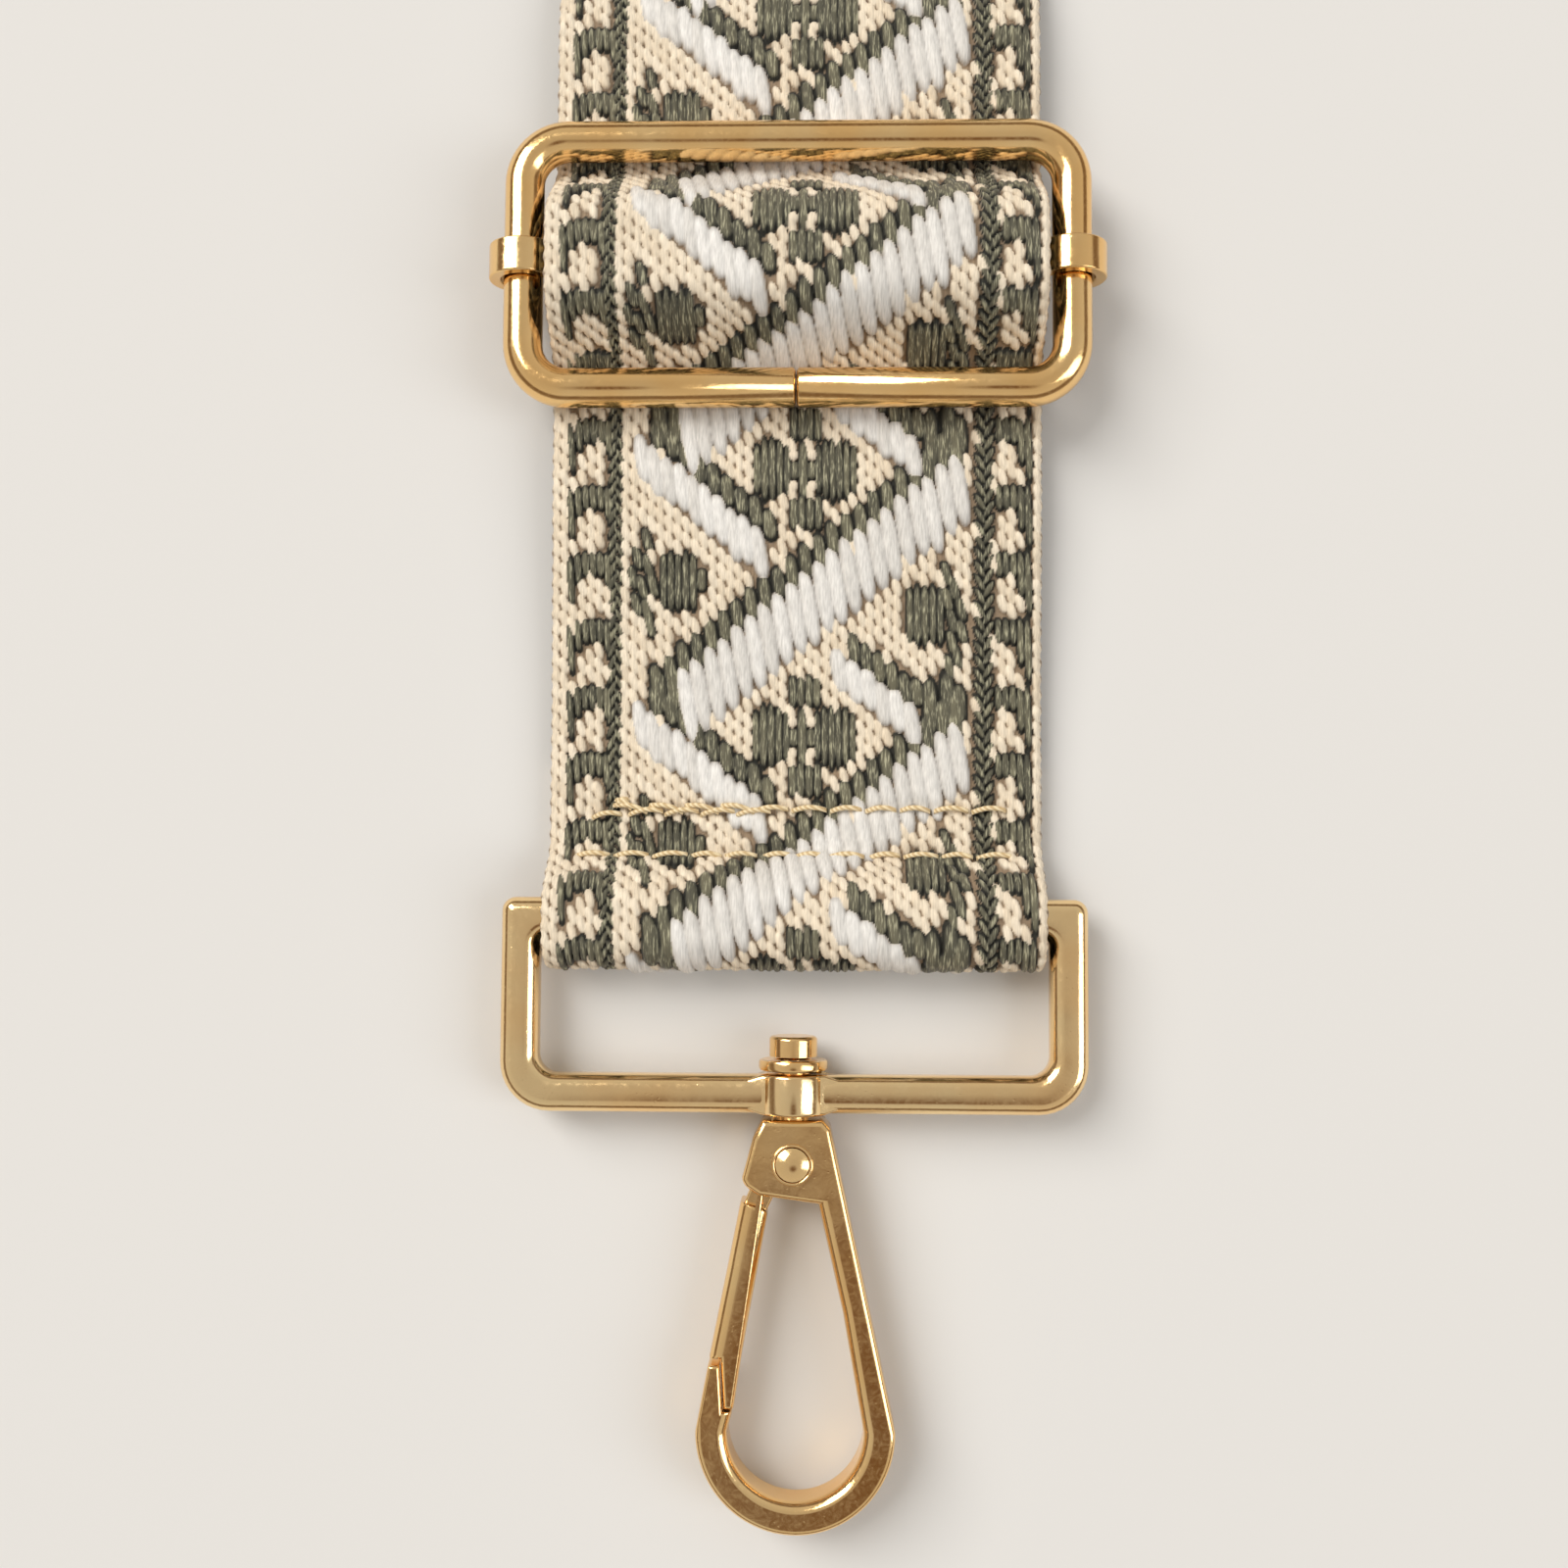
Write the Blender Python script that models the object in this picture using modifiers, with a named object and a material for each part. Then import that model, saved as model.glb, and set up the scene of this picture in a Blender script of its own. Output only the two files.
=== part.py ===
"""A detachable bag strap: flat woven webbing, a sliding adjuster and a swivel snap hook on a ring at each end.

The strap lies flat, as it does on a table. X runs across the webbing, Y along it towards the upper clasp and Z up.
The origin is the middle of the strap, on the surface that it lies on. Lengths are in metres.
"""

import math

import bmesh
import bpy
from mathutils import Matrix, Vector

MM = 0.001

# Gaps between pieces
CLEARANCE = 0.3 * MM
POST_FIT = 0.2 * MM
CUT_OVERRUN = 1.0 * MM

# Webbing
WEBBING_WIDTH = 50.0 * MM
WEBBING_THICKNESS = 1.2 * MM
RING_TO_RING = 620.0 * MM
END_LAP = 16.5 * MM
SEWN_TAIL = 15.5 * MM
END_LOOP_REACH = 5.3 * MM
END_LOOP_SLACK = 0.6 * MM
END_LOOP_TOP = 1.2 * MM
END_LOOP_CLOSED = 8.0 * MM

# Rectangular ring of each clasp
RING_SIDE_ROOM = 0.5 * MM
RING_BAR = 4.0 * MM
RING_BAR_SPACING = 17.5 * MM
RING_SWIVEL_CORNER = 5.0 * MM
RING_SWIVEL_INNER_CORNER = 1.7 * MM
RING_STRAP_CORNER = 1.3 * MM
RING_STRAP_INNER_CORNER = 0.8 * MM
RING_EDGE_ROUND = 0.9 * MM
BOSS_RADIUS = 3.35 * MM
BOSS_SHOULDER = 4.5 * MM

# Swivel
POST_RADIUS = 1.5 * MM
WASHER_RADIUS = 3.45 * MM
WASHER_THICKNESS = 1.1 * MM
CAP_RADIUS = 2.4 * MM
CAP_LENGTH = 2.0 * MM
CAP_EDGE_ROUND = 0.4 * MM
CAP_END_WALL = 0.6 * MM

# Hook, measured from the centre of the ring's swivel bar
HOOK_THICKNESS = 5.0 * MM
HOOK_EDGE_ROUND = 0.5 * MM
HOOK_START = 2.4 * MM
HOOK_NECK = 3.0 * MM
HOOK_RIVET_PLACE = 6.7 * MM
HOOK_BEND_PLACE = 32.5 * MM
HOOK_BEND_SHIFT = 0.4 * MM
HOOK_BEND_OUTER = 9.75 * MM
HOOK_BEND_INNER = 6.66 * MM
HOOK_SHOULDER_X = 3.75 * MM
HOOK_SHOULDER_Y = 3.2 * MM
PLATE_GATE_TOP_X = 3.9 * MM
PLATE_GATE_TOP_Y = 4.1 * MM
PLATE_CORNER_X = 5.0 * MM
PLATE_CORNER_Y = 8.2 * MM
PLATE_CORNER_CUT_X = 4.6 * MM
PLATE_CORNER_CUT_Y = 8.9 * MM
PLATE_EDGE_GATE_X = 3.3 * MM
PLATE_EDGE_GATE_Y = 9.75 * MM
PLATE_EDGE_LIMB_X = 2.55 * MM
PLATE_EDGE_LIMB_Y = 10.5 * MM
LIMB_INNER_MID_X = 5.0 * MM
LIMB_INNER_MID_Y = 21.0 * MM
NOSE_TOP = 26.1 * MM
NOSE_SEAT = 30.6 * MM
NOSE_OUTER_X = 8.15 * MM
NOSE_INNER_TOP_X = 7.05 * MM
NOSE_INNER_SEAT_X = 6.75 * MM
NOSE_SEAT_INNER_X = 5.75 * MM

# Gate, its rivet and its spring
GATE_THICKNESS = 4.2 * MM
GATE_ROOT_THICKNESS = 2.4 * MM
GATE_ROOT_RADIUS = 3.0 * MM
GATE_ROOT_START = math.radians(100)
GATE_ROOT_END = math.radians(350)
GATE_TOP_OUTER_X = 5.3 * MM
GATE_TOP_OUTER_Y = 9.9 * MM
GATE_TOP_INNER_X = 2.3 * MM
GATE_TOP_INNER_Y = 11.7 * MM
GATE_MID_OUTER_X = 6.7 * MM
GATE_MID_INNER_X = 3.3 * MM
GATE_MID_Y = 17.4 * MM
GATE_LAP_DROP = 0.5 * MM
GATE_TONGUE_INNER_X = 5.45 * MM
GATE_EDGE_ROUND = 0.4 * MM
RIVET_HEAD_RADIUS = 1.65 * MM
RIVET_SHAFT_RADIUS = 1.0 * MM
RIVET_DOME = 0.45 * MM
RIVET_PROUD = 0.1 * MM
SPRING_WIRE = 0.45 * MM
SPRING_RADIUS = 1.55 * MM
SPRING_PITCH = 0.55 * MM
SPRING_TURNS = 2
SPRING_POCKET_FLOOR = 0.5 * MM

# Adjuster: a bent wire frame with a flat bar crimped across it
SLIDER_PLACE = 66.0 * MM
SLIDER_WIRE = 4.0 * MM
SLIDER_SIDE_ROOM = 0.75 * MM
SLIDER_BAR_SPACING = 25.5 * MM
SLIDER_CORNER = 4.5 * MM
SLIDER_SEAM = 0.15 * MM
SLIDER_BAR_WIDTH = 3.5 * MM
SLIDER_BAR_THICKNESS = 1.2 * MM
SLIDER_BAR_RISE = 1.2 * MM
SLIDER_CURL_END = math.radians(-50)
SLIDER_CURL_START = math.radians(150)
SLIDER_LAP = 17.5 * MM
SLIDER_TAIL = 24.0 * MM
SLIDER_ARCH_FLAT = 3.0 * MM
SLIDER_ARCH_FOOT = 11.6 * MM
BAR_LOOP_SLACK = 0.6 * MM
BAR_LOOP_CLOSED = 9.3 * MM
RUN_SETTLES = 14.0 * MM

# Smoothness
ARC_STEPS = 18
CORNER_STEPS = 6
EASE_STEPS = 10
TURN_STEPS = 24
EDGE_SEGMENTS = 2
FRAME_WIRE_RESOLUTION = 3
SPRING_WIRE_RESOLUTION = 1
FLATTEST_SHARP_EDGE = math.radians(40)
FLAT_ENOUGH = math.radians(0.5)

# Looks: colour, roughness and metallic value
CREAM_WEBBING = ((0.62, 0.50, 0.36, 1.0), 0.85, 0.0)
POLISHED_GOLD = ((0.83, 0.60, 0.29, 1.0), 0.16, 1.0)
SPRING_STEEL = ((0.55, 0.56, 0.58, 1.0), 0.3, 1.0)

# Sizes worked out from the ones above
LAYER = WEBBING_THICKNESS + CLEARANCE
RING_INSIDE_WIDTH = WEBBING_WIDTH + 2 * RING_SIDE_ROOM
SLIDER_INSIDE_WIDTH = WEBBING_WIDTH + 2 * SLIDER_SIDE_ROOM
END_LOOP_INSIDE = RING_BAR / 2 + END_LOOP_SLACK
END_LOOP_RADIUS = END_LOOP_INSIDE + WEBBING_THICKNESS / 2
RING_HEIGHT = WEBBING_THICKNESS + END_LOOP_INSIDE
LOWER_RING_Y = -RING_TO_RING / 2
SLIDER_Y = LOWER_RING_Y + SLIDER_PLACE
FRAME_HEIGHT = 3 * LAYER + SLIDER_WIRE / 2
BAR_HEIGHT = FRAME_HEIGHT + SLIDER_BAR_RISE
CHEEK_GAP = GATE_ROOT_THICKNESS + 2 * CLEARANCE


def layer_height(layer):
    """The middle height of one of the webbing's layers, counted from the table up."""
    return WEBBING_THICKNESS / 2 + layer * LAYER


# Collections and objects


def clear_scene():
    for thing in list(bpy.data.objects):
        bpy.data.objects.remove(thing, do_unlink=True)


def new_collection(name):
    collection = bpy.data.collections.new(name)
    bpy.context.scene.collection.children.link(collection)
    return collection


clear_scene()
STRAP = new_collection("bag_strap")
CUTTERS = new_collection("cutters")


def carrier(name, place, parent=None, turn=0.0):
    """An empty on a joint's axis, which the pieces that move together hang from."""
    empty = bpy.data.objects.new(name, None)
    STRAP.objects.link(empty)
    empty.parent = parent
    empty.location = place
    empty.rotation_euler = (0, 0, turn)
    return empty


def add(name, mesh, parent, collection=STRAP):
    piece = bpy.data.objects.new(name, mesh)
    collection.objects.link(piece)
    piece.parent = parent
    return piece


def helper(piece):
    """Marks a piece that only cuts or joins another."""
    piece.hide_render = True
    piece.display_type = "WIRE"
    return piece


def finish_look(piece, look):
    color, roughness, metallic = look
    material = bpy.data.materials.new(piece.name + "_finish")
    material.use_nodes = True
    shader = material.node_tree.nodes["Principled BSDF"]
    shader.inputs["Base Color"].default_value = color
    shader.inputs["Roughness"].default_value = roughness
    shader.inputs["Metallic"].default_value = metallic
    piece.data.materials.append(material)
    return piece


# Modifiers


def round_edges(piece, width):
    bevel = piece.modifiers.new("rounded edges", "BEVEL")
    bevel.width = width
    bevel.segments = EDGE_SEGMENTS
    bevel.limit_method = "ANGLE"
    bevel.angle_limit = FLATTEST_SHARP_EDGE
    bevel.use_clamp_overlap = False


def combine(piece, other, operation):
    boolean = piece.modifiers.new(other.name, "BOOLEAN")
    boolean.operation = operation
    boolean.object = other
    boolean.solver = "EXACT"


# Outlines


def arc(centre, radius, start, end, steps):
    """Points along part of a circle, from one angle to another."""
    cx, cy = centre
    angles = [start + (end - start) * i / steps for i in range(steps + 1)]
    return [(cx + radius * math.cos(a), cy + radius * math.sin(a)) for a in angles]


def ease(start, end, steps):
    """Points along a smooth step from one level to another, level at both of its ends."""
    points = []
    for i in range(steps + 1):
        share = i / steps
        drop = (1 - math.cos(math.pi * share)) / 2
        points.append((start[0] + (end[0] - start[0]) * share, start[1] + (end[1] - start[1]) * drop))
    return points


def rounded_rectangle(left, right, low, high, low_corner, high_corner):
    """Anticlockwise outline whose two lower corners share one radius and its two upper corners another."""
    quarter = math.pi / 2
    corners = [
        (left + low_corner, low + low_corner, low_corner, 2 * quarter),
        (right - low_corner, low + low_corner, low_corner, 3 * quarter),
        (right - high_corner, high - high_corner, high_corner, 4 * quarter),
        (left + high_corner, high - high_corner, high_corner, 5 * quarter),
    ]
    points = []
    for x, y, radius, start in corners:
        points += arc((x, y), radius, start, start + quarter, CORNER_STEPS)
    return points


def without_repeats(path):
    kept = [path[0]]
    for point in path[1:]:
        if math.dist(point, kept[-1]) > CLEARANCE / 10:
            kept.append(point)
    return kept


# Solids


def flat_solid(name, outline, thickness, parent, collection=STRAP):
    """A flat outline made thick as a filled curve, and turned into a mesh with its caps welded."""
    curve = bpy.data.curves.new(name + "_outline", "CURVE")
    curve.dimensions = "2D"
    curve.fill_mode = "BOTH"
    curve.extrude = thickness / 2
    spline = curve.splines.new("POLY")
    spline.points.add(len(outline) - 1)
    for point, (x, y) in zip(spline.points, outline):
        point.co = (x, y, 0, 1)
    spline.use_cyclic_u = True
    return mesh_from_curve(name, curve, parent, collection)


def framed_solid(name, outside, inside, thickness, parent):
    """A closed flat frame between two outlines with as many points each, bridged and then made thick."""
    bm = bmesh.new()
    loops = []
    for outline in (outside, inside):
        corners = [bm.verts.new((x, y, -thickness / 2)) for x, y in outline]
        loops += [bm.edges.new(pair) for pair in zip(corners, corners[1:] + corners[:1])]
    flat = bmesh.ops.bridge_loops(bm, edges=loops)["faces"]
    swept = bmesh.ops.extrude_face_region(bm, geom=flat, use_keep_orig=True)["geom"]
    moved = [v for v in swept if isinstance(v, bmesh.types.BMVert)]
    bmesh.ops.translate(bm, verts=moved, vec=(0, 0, thickness))
    bmesh.ops.recalc_face_normals(bm, faces=bm.faces)
    mesh = bpy.data.meshes.new(name)
    bm.to_mesh(mesh)
    bm.free()
    return add(name, mesh, parent)


def wire_solid(name, path, diameter, resolution, parent):
    """A round wire along a path, open at both ends, with filled caps."""
    curve = bpy.data.curves.new(name + "_path", "CURVE")
    curve.dimensions = "3D"
    curve.bevel_depth = diameter / 2
    curve.bevel_resolution = resolution
    curve.use_fill_caps = True
    spline = curve.splines.new("POLY")
    spline.points.add(len(path) - 1)
    for point, place in zip(spline.points, path):
        point.co = (*place, 1)
    piece = mesh_from_curve(name, curve, parent, STRAP)
    piece.data.shade_smooth()
    piece.data.set_sharp_from_angle(angle=FLATTEST_SHARP_EDGE)
    return piece


def mesh_from_curve(name, curve, parent, collection):
    guide = bpy.data.objects.new(name + "_guide", curve)
    bpy.context.scene.collection.objects.link(guide)
    bpy.context.view_layer.update()
    seen = guide.evaluated_get(bpy.context.evaluated_depsgraph_get())
    mesh = bpy.data.meshes.new_from_object(seen)
    mesh.transform(guide.matrix_world)
    bpy.data.objects.remove(guide, do_unlink=True)
    mesh.name = name
    bm = bmesh.new()
    bm.from_mesh(mesh)
    bmesh.ops.remove_doubles(bm, verts=bm.verts, dist=CLEARANCE / 100)
    bmesh.ops.dissolve_limit(bm, angle_limit=FLAT_ENOUGH, verts=bm.verts, edges=bm.edges)
    bmesh.ops.recalc_face_normals(bm, faces=bm.faces)
    bm.to_mesh(mesh)
    bm.free()
    return add(name, mesh, parent, collection)


def ribbon(name, path, width, thickness, parent, along_x=False):
    """A flat strip bent along a path of (distance, height) points. It runs along Y, or along X if asked."""
    bm = bmesh.new()
    path = without_repeats(path)
    edge = [bm.verts.new((-width / 2, y, z)) for y, z in path]
    sides = [bm.edges.new(pair) for pair in zip(edge, edge[1:])]
    swept = bmesh.ops.extrude_edge_only(bm, edges=sides)["geom"]
    moved = [v for v in swept if isinstance(v, bmesh.types.BMVert)]
    bmesh.ops.translate(bm, verts=moved, vec=(width, 0, 0))
    if along_x:
        bmesh.ops.rotate(bm, verts=bm.verts, matrix=Matrix.Rotation(math.pi / 2, 3, "Z"))
    mesh = bpy.data.meshes.new(name)
    bm.to_mesh(mesh)
    bm.free()
    mesh.shade_smooth()
    piece = add(name, mesh, parent)
    solidify = piece.modifiers.new("thickness", "SOLIDIFY")
    solidify.thickness = thickness
    solidify.offset = 0
    solidify.use_even_offset = True
    return piece


def turned(name, profile, parent, closed=False):
    """A piece turned about its own Z axis from (radius, height) points that run down its outer side."""
    bm = bmesh.new()
    points = [bm.verts.new((radius, 0, height)) for radius, height in profile]
    pairs = list(zip(points, points[1:]))
    if closed:
        pairs.append((points[-1], points[0]))
    for pair in pairs:
        bm.edges.new(pair)
    mesh = bpy.data.meshes.new(name)
    bm.to_mesh(mesh)
    bm.free()
    piece = add(name, mesh, parent)
    screw = piece.modifiers.new("turned", "SCREW")
    screw.steps = TURN_STEPS
    screw.render_steps = TURN_STEPS
    screw.use_merge_vertices = True
    screw.merge_threshold = CLEARANCE / 100
    return piece


def rod(name, radius, start, end, parent, along_y=False, collection=CUTTERS):
    """A plain cylinder about Z, or about Y, between two places on its axis."""
    bm = bmesh.new()
    bmesh.ops.create_cone(
        bm, cap_ends=True, segments=TURN_STEPS, radius1=radius, radius2=radius, depth=end - start
    )
    bmesh.ops.translate(bm, verts=bm.verts, vec=(0, 0, (start + end) / 2))
    if along_y:
        bmesh.ops.rotate(bm, verts=bm.verts, matrix=Matrix.Rotation(-math.pi / 2, 3, "X"))
    mesh = bpy.data.meshes.new(name)
    bm.to_mesh(mesh)
    bm.free()
    return add(name, mesh, parent, collection)


# Webbing


def end_loop_path(tail):
    """The webbing round a ring's strap bar, in distances from that bar towards the strap's middle.

    It starts at the end of the lower layer, goes round the bar and comes back as the upper layer.
    """
    centre = END_LOOP_REACH - END_LOOP_RADIUS - WEBBING_THICKNESS / 2
    bottom, top = RING_HEIGHT - END_LOOP_RADIUS, RING_HEIGHT + END_LOOP_RADIUS
    path = [(tail, bottom)]
    path += arc((-centre, RING_HEIGHT), END_LOOP_RADIUS, -math.pi / 2, -3 * math.pi / 2, ARC_STEPS)
    path += ease((END_LOOP_TOP, top), (END_LOOP_CLOSED, layer_height(1)), EASE_STEPS)
    path.append((END_LAP, layer_height(1)))
    return path


def webbing(name, path, parent):
    finish_look(ribbon(name, path, WEBBING_WIDTH, WEBBING_THICKNESS, parent), CREAM_WEBBING)


def make_webbing(lower_end, slider, upper_end):
    """One woven strip, as a piece for each fold or loop and for each straight run between them."""
    webbing("webbing_lower_fold", end_loop_path(SEWN_TAIL), lower_end)
    run_start = END_LAP + CLEARANCE
    run_end = SLIDER_PLACE - SLIDER_LAP - CLEARANCE
    rise = ease((run_start, layer_height(1)), (run_end, layer_height(2)), EASE_STEPS)
    webbing("webbing_lower_run", rise, lower_end)

    over_loop = BAR_HEIGHT + SLIDER_BAR_THICKNESS / 2 + BAR_LOOP_SLACK + WEBBING_THICKNESS / 2
    arch_top = over_loop + LAYER
    foot = layer_height(2)
    arch = [(-SLIDER_LAP, foot)]
    arch += ease((-SLIDER_ARCH_FOOT, foot), (-SLIDER_ARCH_FLAT, arch_top), EASE_STEPS)
    arch += ease((SLIDER_ARCH_FLAT, arch_top), (SLIDER_ARCH_FOOT, foot), EASE_STEPS)
    arch.append((SLIDER_LAP, foot))
    webbing("webbing_slider_arch", arch, slider)

    under_bar = BAR_HEIGHT - SLIDER_BAR_THICKNESS / 2 - CLEARANCE - WEBBING_THICKNESS / 2
    turn_radius = (over_loop - under_bar) / 2
    turn_height = (over_loop + under_bar) / 2
    turn_centre = -SLIDER_BAR_WIDTH / 2 + CLEARANCE
    bar_edge = SLIDER_BAR_WIDTH / 2
    loop = [(SLIDER_TAIL, layer_height(0))]
    loop += ease((BAR_LOOP_CLOSED, layer_height(0)), (bar_edge - turn_radius, under_bar), EASE_STEPS)
    loop += arc((turn_centre, turn_height), turn_radius, -math.pi / 2, -3 * math.pi / 2, ARC_STEPS)
    loop += ease((bar_edge, over_loop), (BAR_LOOP_CLOSED, layer_height(1)), EASE_STEPS)
    loop.append((SLIDER_LAP, layer_height(1)))
    webbing("webbing_bar_loop", loop, slider)

    top_start = SLIDER_LAP + CLEARANCE
    settle = SLIDER_TAIL + CLEARANCE
    far_end = RING_TO_RING - SLIDER_PLACE - END_LAP - CLEARANCE
    for name, layer in (("webbing_upper_run", 2), ("webbing_back_run", 1)):
        run = [(top_start, layer_height(layer))]
        run += ease((settle, layer_height(layer)), (settle + RUN_SETTLES, layer_height(layer - 1)), EASE_STEPS)
        run.append((far_end, layer_height(layer - 1)))
        webbing(name, run, slider)

    webbing("webbing_upper_loop", end_loop_path(END_LAP), upper_end)


# Adjuster


def make_slider(slider):
    half_width = (SLIDER_INSIDE_WIDTH + SLIDER_WIRE) / 2
    half_height = SLIDER_BAR_SPACING / 2
    outline = rounded_rectangle(-half_width, half_width, -half_height, half_height, SLIDER_CORNER, SLIDER_CORNER)
    seam = SLIDER_SEAM / 2
    left_half = outline[: CORNER_STEPS + 1]
    path = [(seam, -half_height)] + outline[CORNER_STEPS + 1 :] + left_half + [(-seam, -half_height)]
    frame = wire_solid("slider_frame", [(x, y, FRAME_HEIGHT) for x, y in path], SLIDER_WIRE, FRAME_WIRE_RESOLUTION, slider)
    finish_look(frame, POLISHED_GOLD)

    curl_radius = (SLIDER_WIRE + SLIDER_BAR_THICKNESS) / 2 + CLEARANCE
    curl = arc((half_width, FRAME_HEIGHT), curl_radius, SLIDER_CURL_START, SLIDER_CURL_END, ARC_STEPS)
    bend_start = half_width - curl_radius - CLEARANCE
    right_half = [(bend_start, BAR_HEIGHT)] + curl
    left_half = [(-x, z) for x, z in reversed(right_half)]
    bar_path = left_half + right_half
    bar = ribbon("slider_bar", bar_path, SLIDER_BAR_WIDTH, SLIDER_BAR_THICKNESS, slider, along_x=True)
    finish_look(bar, POLISHED_GOLD)


# Clasps


def boss_outline():
    """The swivel boss seen along its bore: a round barrel with a hollow shoulder down to the bar on each side.

    The shoulders end a little under the bar's faces, so that they run into the bar.
    """
    bar = RING_BAR / 2 - CLEARANCE / 10
    reach = math.sqrt((BOSS_RADIUS + BOSS_SHOULDER) ** 2 - (bar + BOSS_SHOULDER) ** 2)
    meet = math.atan2(bar + BOSS_SHOULDER, reach)
    barrel = arc((0, 0), BOSS_RADIUS, meet, math.pi - meet, ARC_STEPS)
    left = arc((-reach, bar + BOSS_SHOULDER), BOSS_SHOULDER, -meet, -math.pi / 2, CORNER_STEPS)
    right = [(-x, z) for x, z in reversed(left)]
    upper = without_repeats(right + barrel + left)
    lower = [(x, -z) for x, z in reversed(upper)]
    return upper + lower


def make_ring(name, pivot):
    half = RING_INSIDE_WIDTH / 2
    bar = RING_BAR / 2
    outside = rounded_rectangle(
        -half - RING_BAR, half + RING_BAR, -bar, RING_BAR_SPACING + bar, RING_STRAP_CORNER, RING_SWIVEL_CORNER
    )
    inside = rounded_rectangle(
        -half, half, bar, RING_BAR_SPACING - bar, RING_STRAP_INNER_CORNER, RING_SWIVEL_INNER_CORNER
    )
    ring = framed_solid(name, outside, inside, RING_BAR, pivot)
    round_edges(ring, RING_EDGE_ROUND)
    boss = helper(flat_solid(name + "_boss", boss_outline(), RING_BAR - CLEARANCE, pivot, CUTTERS))
    boss.location = (0, RING_BAR_SPACING, 0)
    boss.rotation_euler = (math.pi / 2, 0, 0)
    combine(ring, boss, "UNION")
    bore_end = bar + CUT_OVERRUN
    bore = helper(rod(name + "_bore", POST_RADIUS + CLEARANCE, -bore_end, bore_end, pivot, along_y=True))
    bore.location = (0, RING_BAR_SPACING, 0)
    combine(ring, bore, "DIFFERENCE")
    return finish_look(ring, POLISHED_GOLD)


def hook_outline():
    """The open hook: clevis plate, straight limb, round bend and the nose that the gate closes on."""
    bend = (-HOOK_BEND_SHIFT, HOOK_BEND_PLACE)
    points = [
        (-HOOK_NECK, HOOK_START),
        (HOOK_NECK, HOOK_START),
        (PLATE_GATE_TOP_X, PLATE_GATE_TOP_Y),
        (PLATE_CORNER_X, PLATE_CORNER_Y),
        (PLATE_CORNER_CUT_X, PLATE_CORNER_CUT_Y),
        (PLATE_EDGE_GATE_X, PLATE_EDGE_GATE_Y),
        (-PLATE_EDGE_LIMB_X, PLATE_EDGE_LIMB_Y),
        (-LIMB_INNER_MID_X, LIMB_INNER_MID_Y),
    ]
    points += arc(bend, HOOK_BEND_INNER, math.pi, 0, ARC_STEPS)
    points += [
        (NOSE_SEAT_INNER_X, NOSE_SEAT),
        (NOSE_INNER_SEAT_X, NOSE_SEAT),
        (NOSE_INNER_TOP_X, NOSE_TOP),
        (NOSE_OUTER_X, NOSE_TOP),
    ]
    points += arc(bend, HOOK_BEND_OUTER, 0, math.pi, ARC_STEPS)
    points.append((-HOOK_SHOULDER_X, HOOK_SHOULDER_Y))
    return points


def make_hook_body(name, swivel):
    hook = flat_solid(name, hook_outline(), HOOK_THICKNESS, swivel)
    round_edges(hook, HOOK_EDGE_ROUND)
    washer_face = RING_BAR / 2 + CLEARANCE + WASHER_THICKNESS
    post_end = washer_face + CLEARANCE + CAP_LENGTH - CAP_END_WALL - CLEARANCE
    post = helper(rod(name + "_post", POST_RADIUS, -post_end, HOOK_START + CUT_OVERRUN / 2, swivel, along_y=True))
    combine(hook, post, "UNION")
    slot_radius = GATE_ROOT_RADIUS + CLEARANCE
    slot = helper(rod(name + "_slot", slot_radius, -CHEEK_GAP / 2, CHEEK_GAP / 2, swivel))
    slot.location = (0, HOOK_RIVET_PLACE, 0)
    combine(hook, slot, "DIFFERENCE")
    wide = HOOK_BEND_OUTER
    deep = PLATE_EDGE_LIMB_Y + CUT_OVERRUN
    gap = [(-PLATE_EDGE_LIMB_X, HOOK_RIVET_PLACE), (wide, HOOK_RIVET_PLACE), (wide, deep), (-PLATE_EDGE_LIMB_X, deep)]
    mouth = helper(flat_solid(name + "_mouth", gap, CHEEK_GAP, swivel, CUTTERS))
    combine(hook, mouth, "DIFFERENCE")
    through = HOOK_THICKNESS / 2 + CUT_OVERRUN
    bore = helper(rod(name + "_rivet_bore", RIVET_HEAD_RADIUS + CLEARANCE, -through, through, swivel))
    bore.location = (0, HOOK_RIVET_PLACE, 0)
    combine(hook, bore, "DIFFERENCE")
    return finish_look(hook, POLISHED_GOLD)


def make_swivel(prefix, swivel):
    """The washer and the staked cap that hold the hook's post in the ring's boss."""
    face = RING_BAR / 2 + CLEARANCE
    washer_profile = [
        (POST_RADIUS + CLEARANCE, WASHER_THICKNESS),
        (WASHER_RADIUS, WASHER_THICKNESS),
        (WASHER_RADIUS, 0),
        (POST_RADIUS + CLEARANCE, 0),
    ]
    washer = turned(prefix + "_swivel_washer", washer_profile, swivel, closed=True)
    washer.location = (0, -face, 0)
    washer.rotation_euler = (math.pi / 2, 0, 0)
    round_edges(washer, CLEARANCE)
    finish_look(washer, POLISHED_GOLD)

    bore = POST_RADIUS + POST_FIT
    rounded = arc(
        (CAP_RADIUS - CAP_EDGE_ROUND, CAP_LENGTH - CAP_EDGE_ROUND), CAP_EDGE_ROUND, math.pi / 2, 0, CORNER_STEPS
    )
    cap_profile = [(0, CAP_LENGTH)] + rounded
    cap_profile += [(CAP_RADIUS, 0), (bore, 0), (bore, CAP_LENGTH - CAP_END_WALL), (0, CAP_LENGTH - CAP_END_WALL)]
    cap = turned(prefix + "_swivel_cap", cap_profile, swivel)
    cap.location = (0, -face - WASHER_THICKNESS - CLEARANCE, 0)
    cap.rotation_euler = (math.pi / 2, 0, 0)
    finish_look(cap, POLISHED_GOLD)


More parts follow.
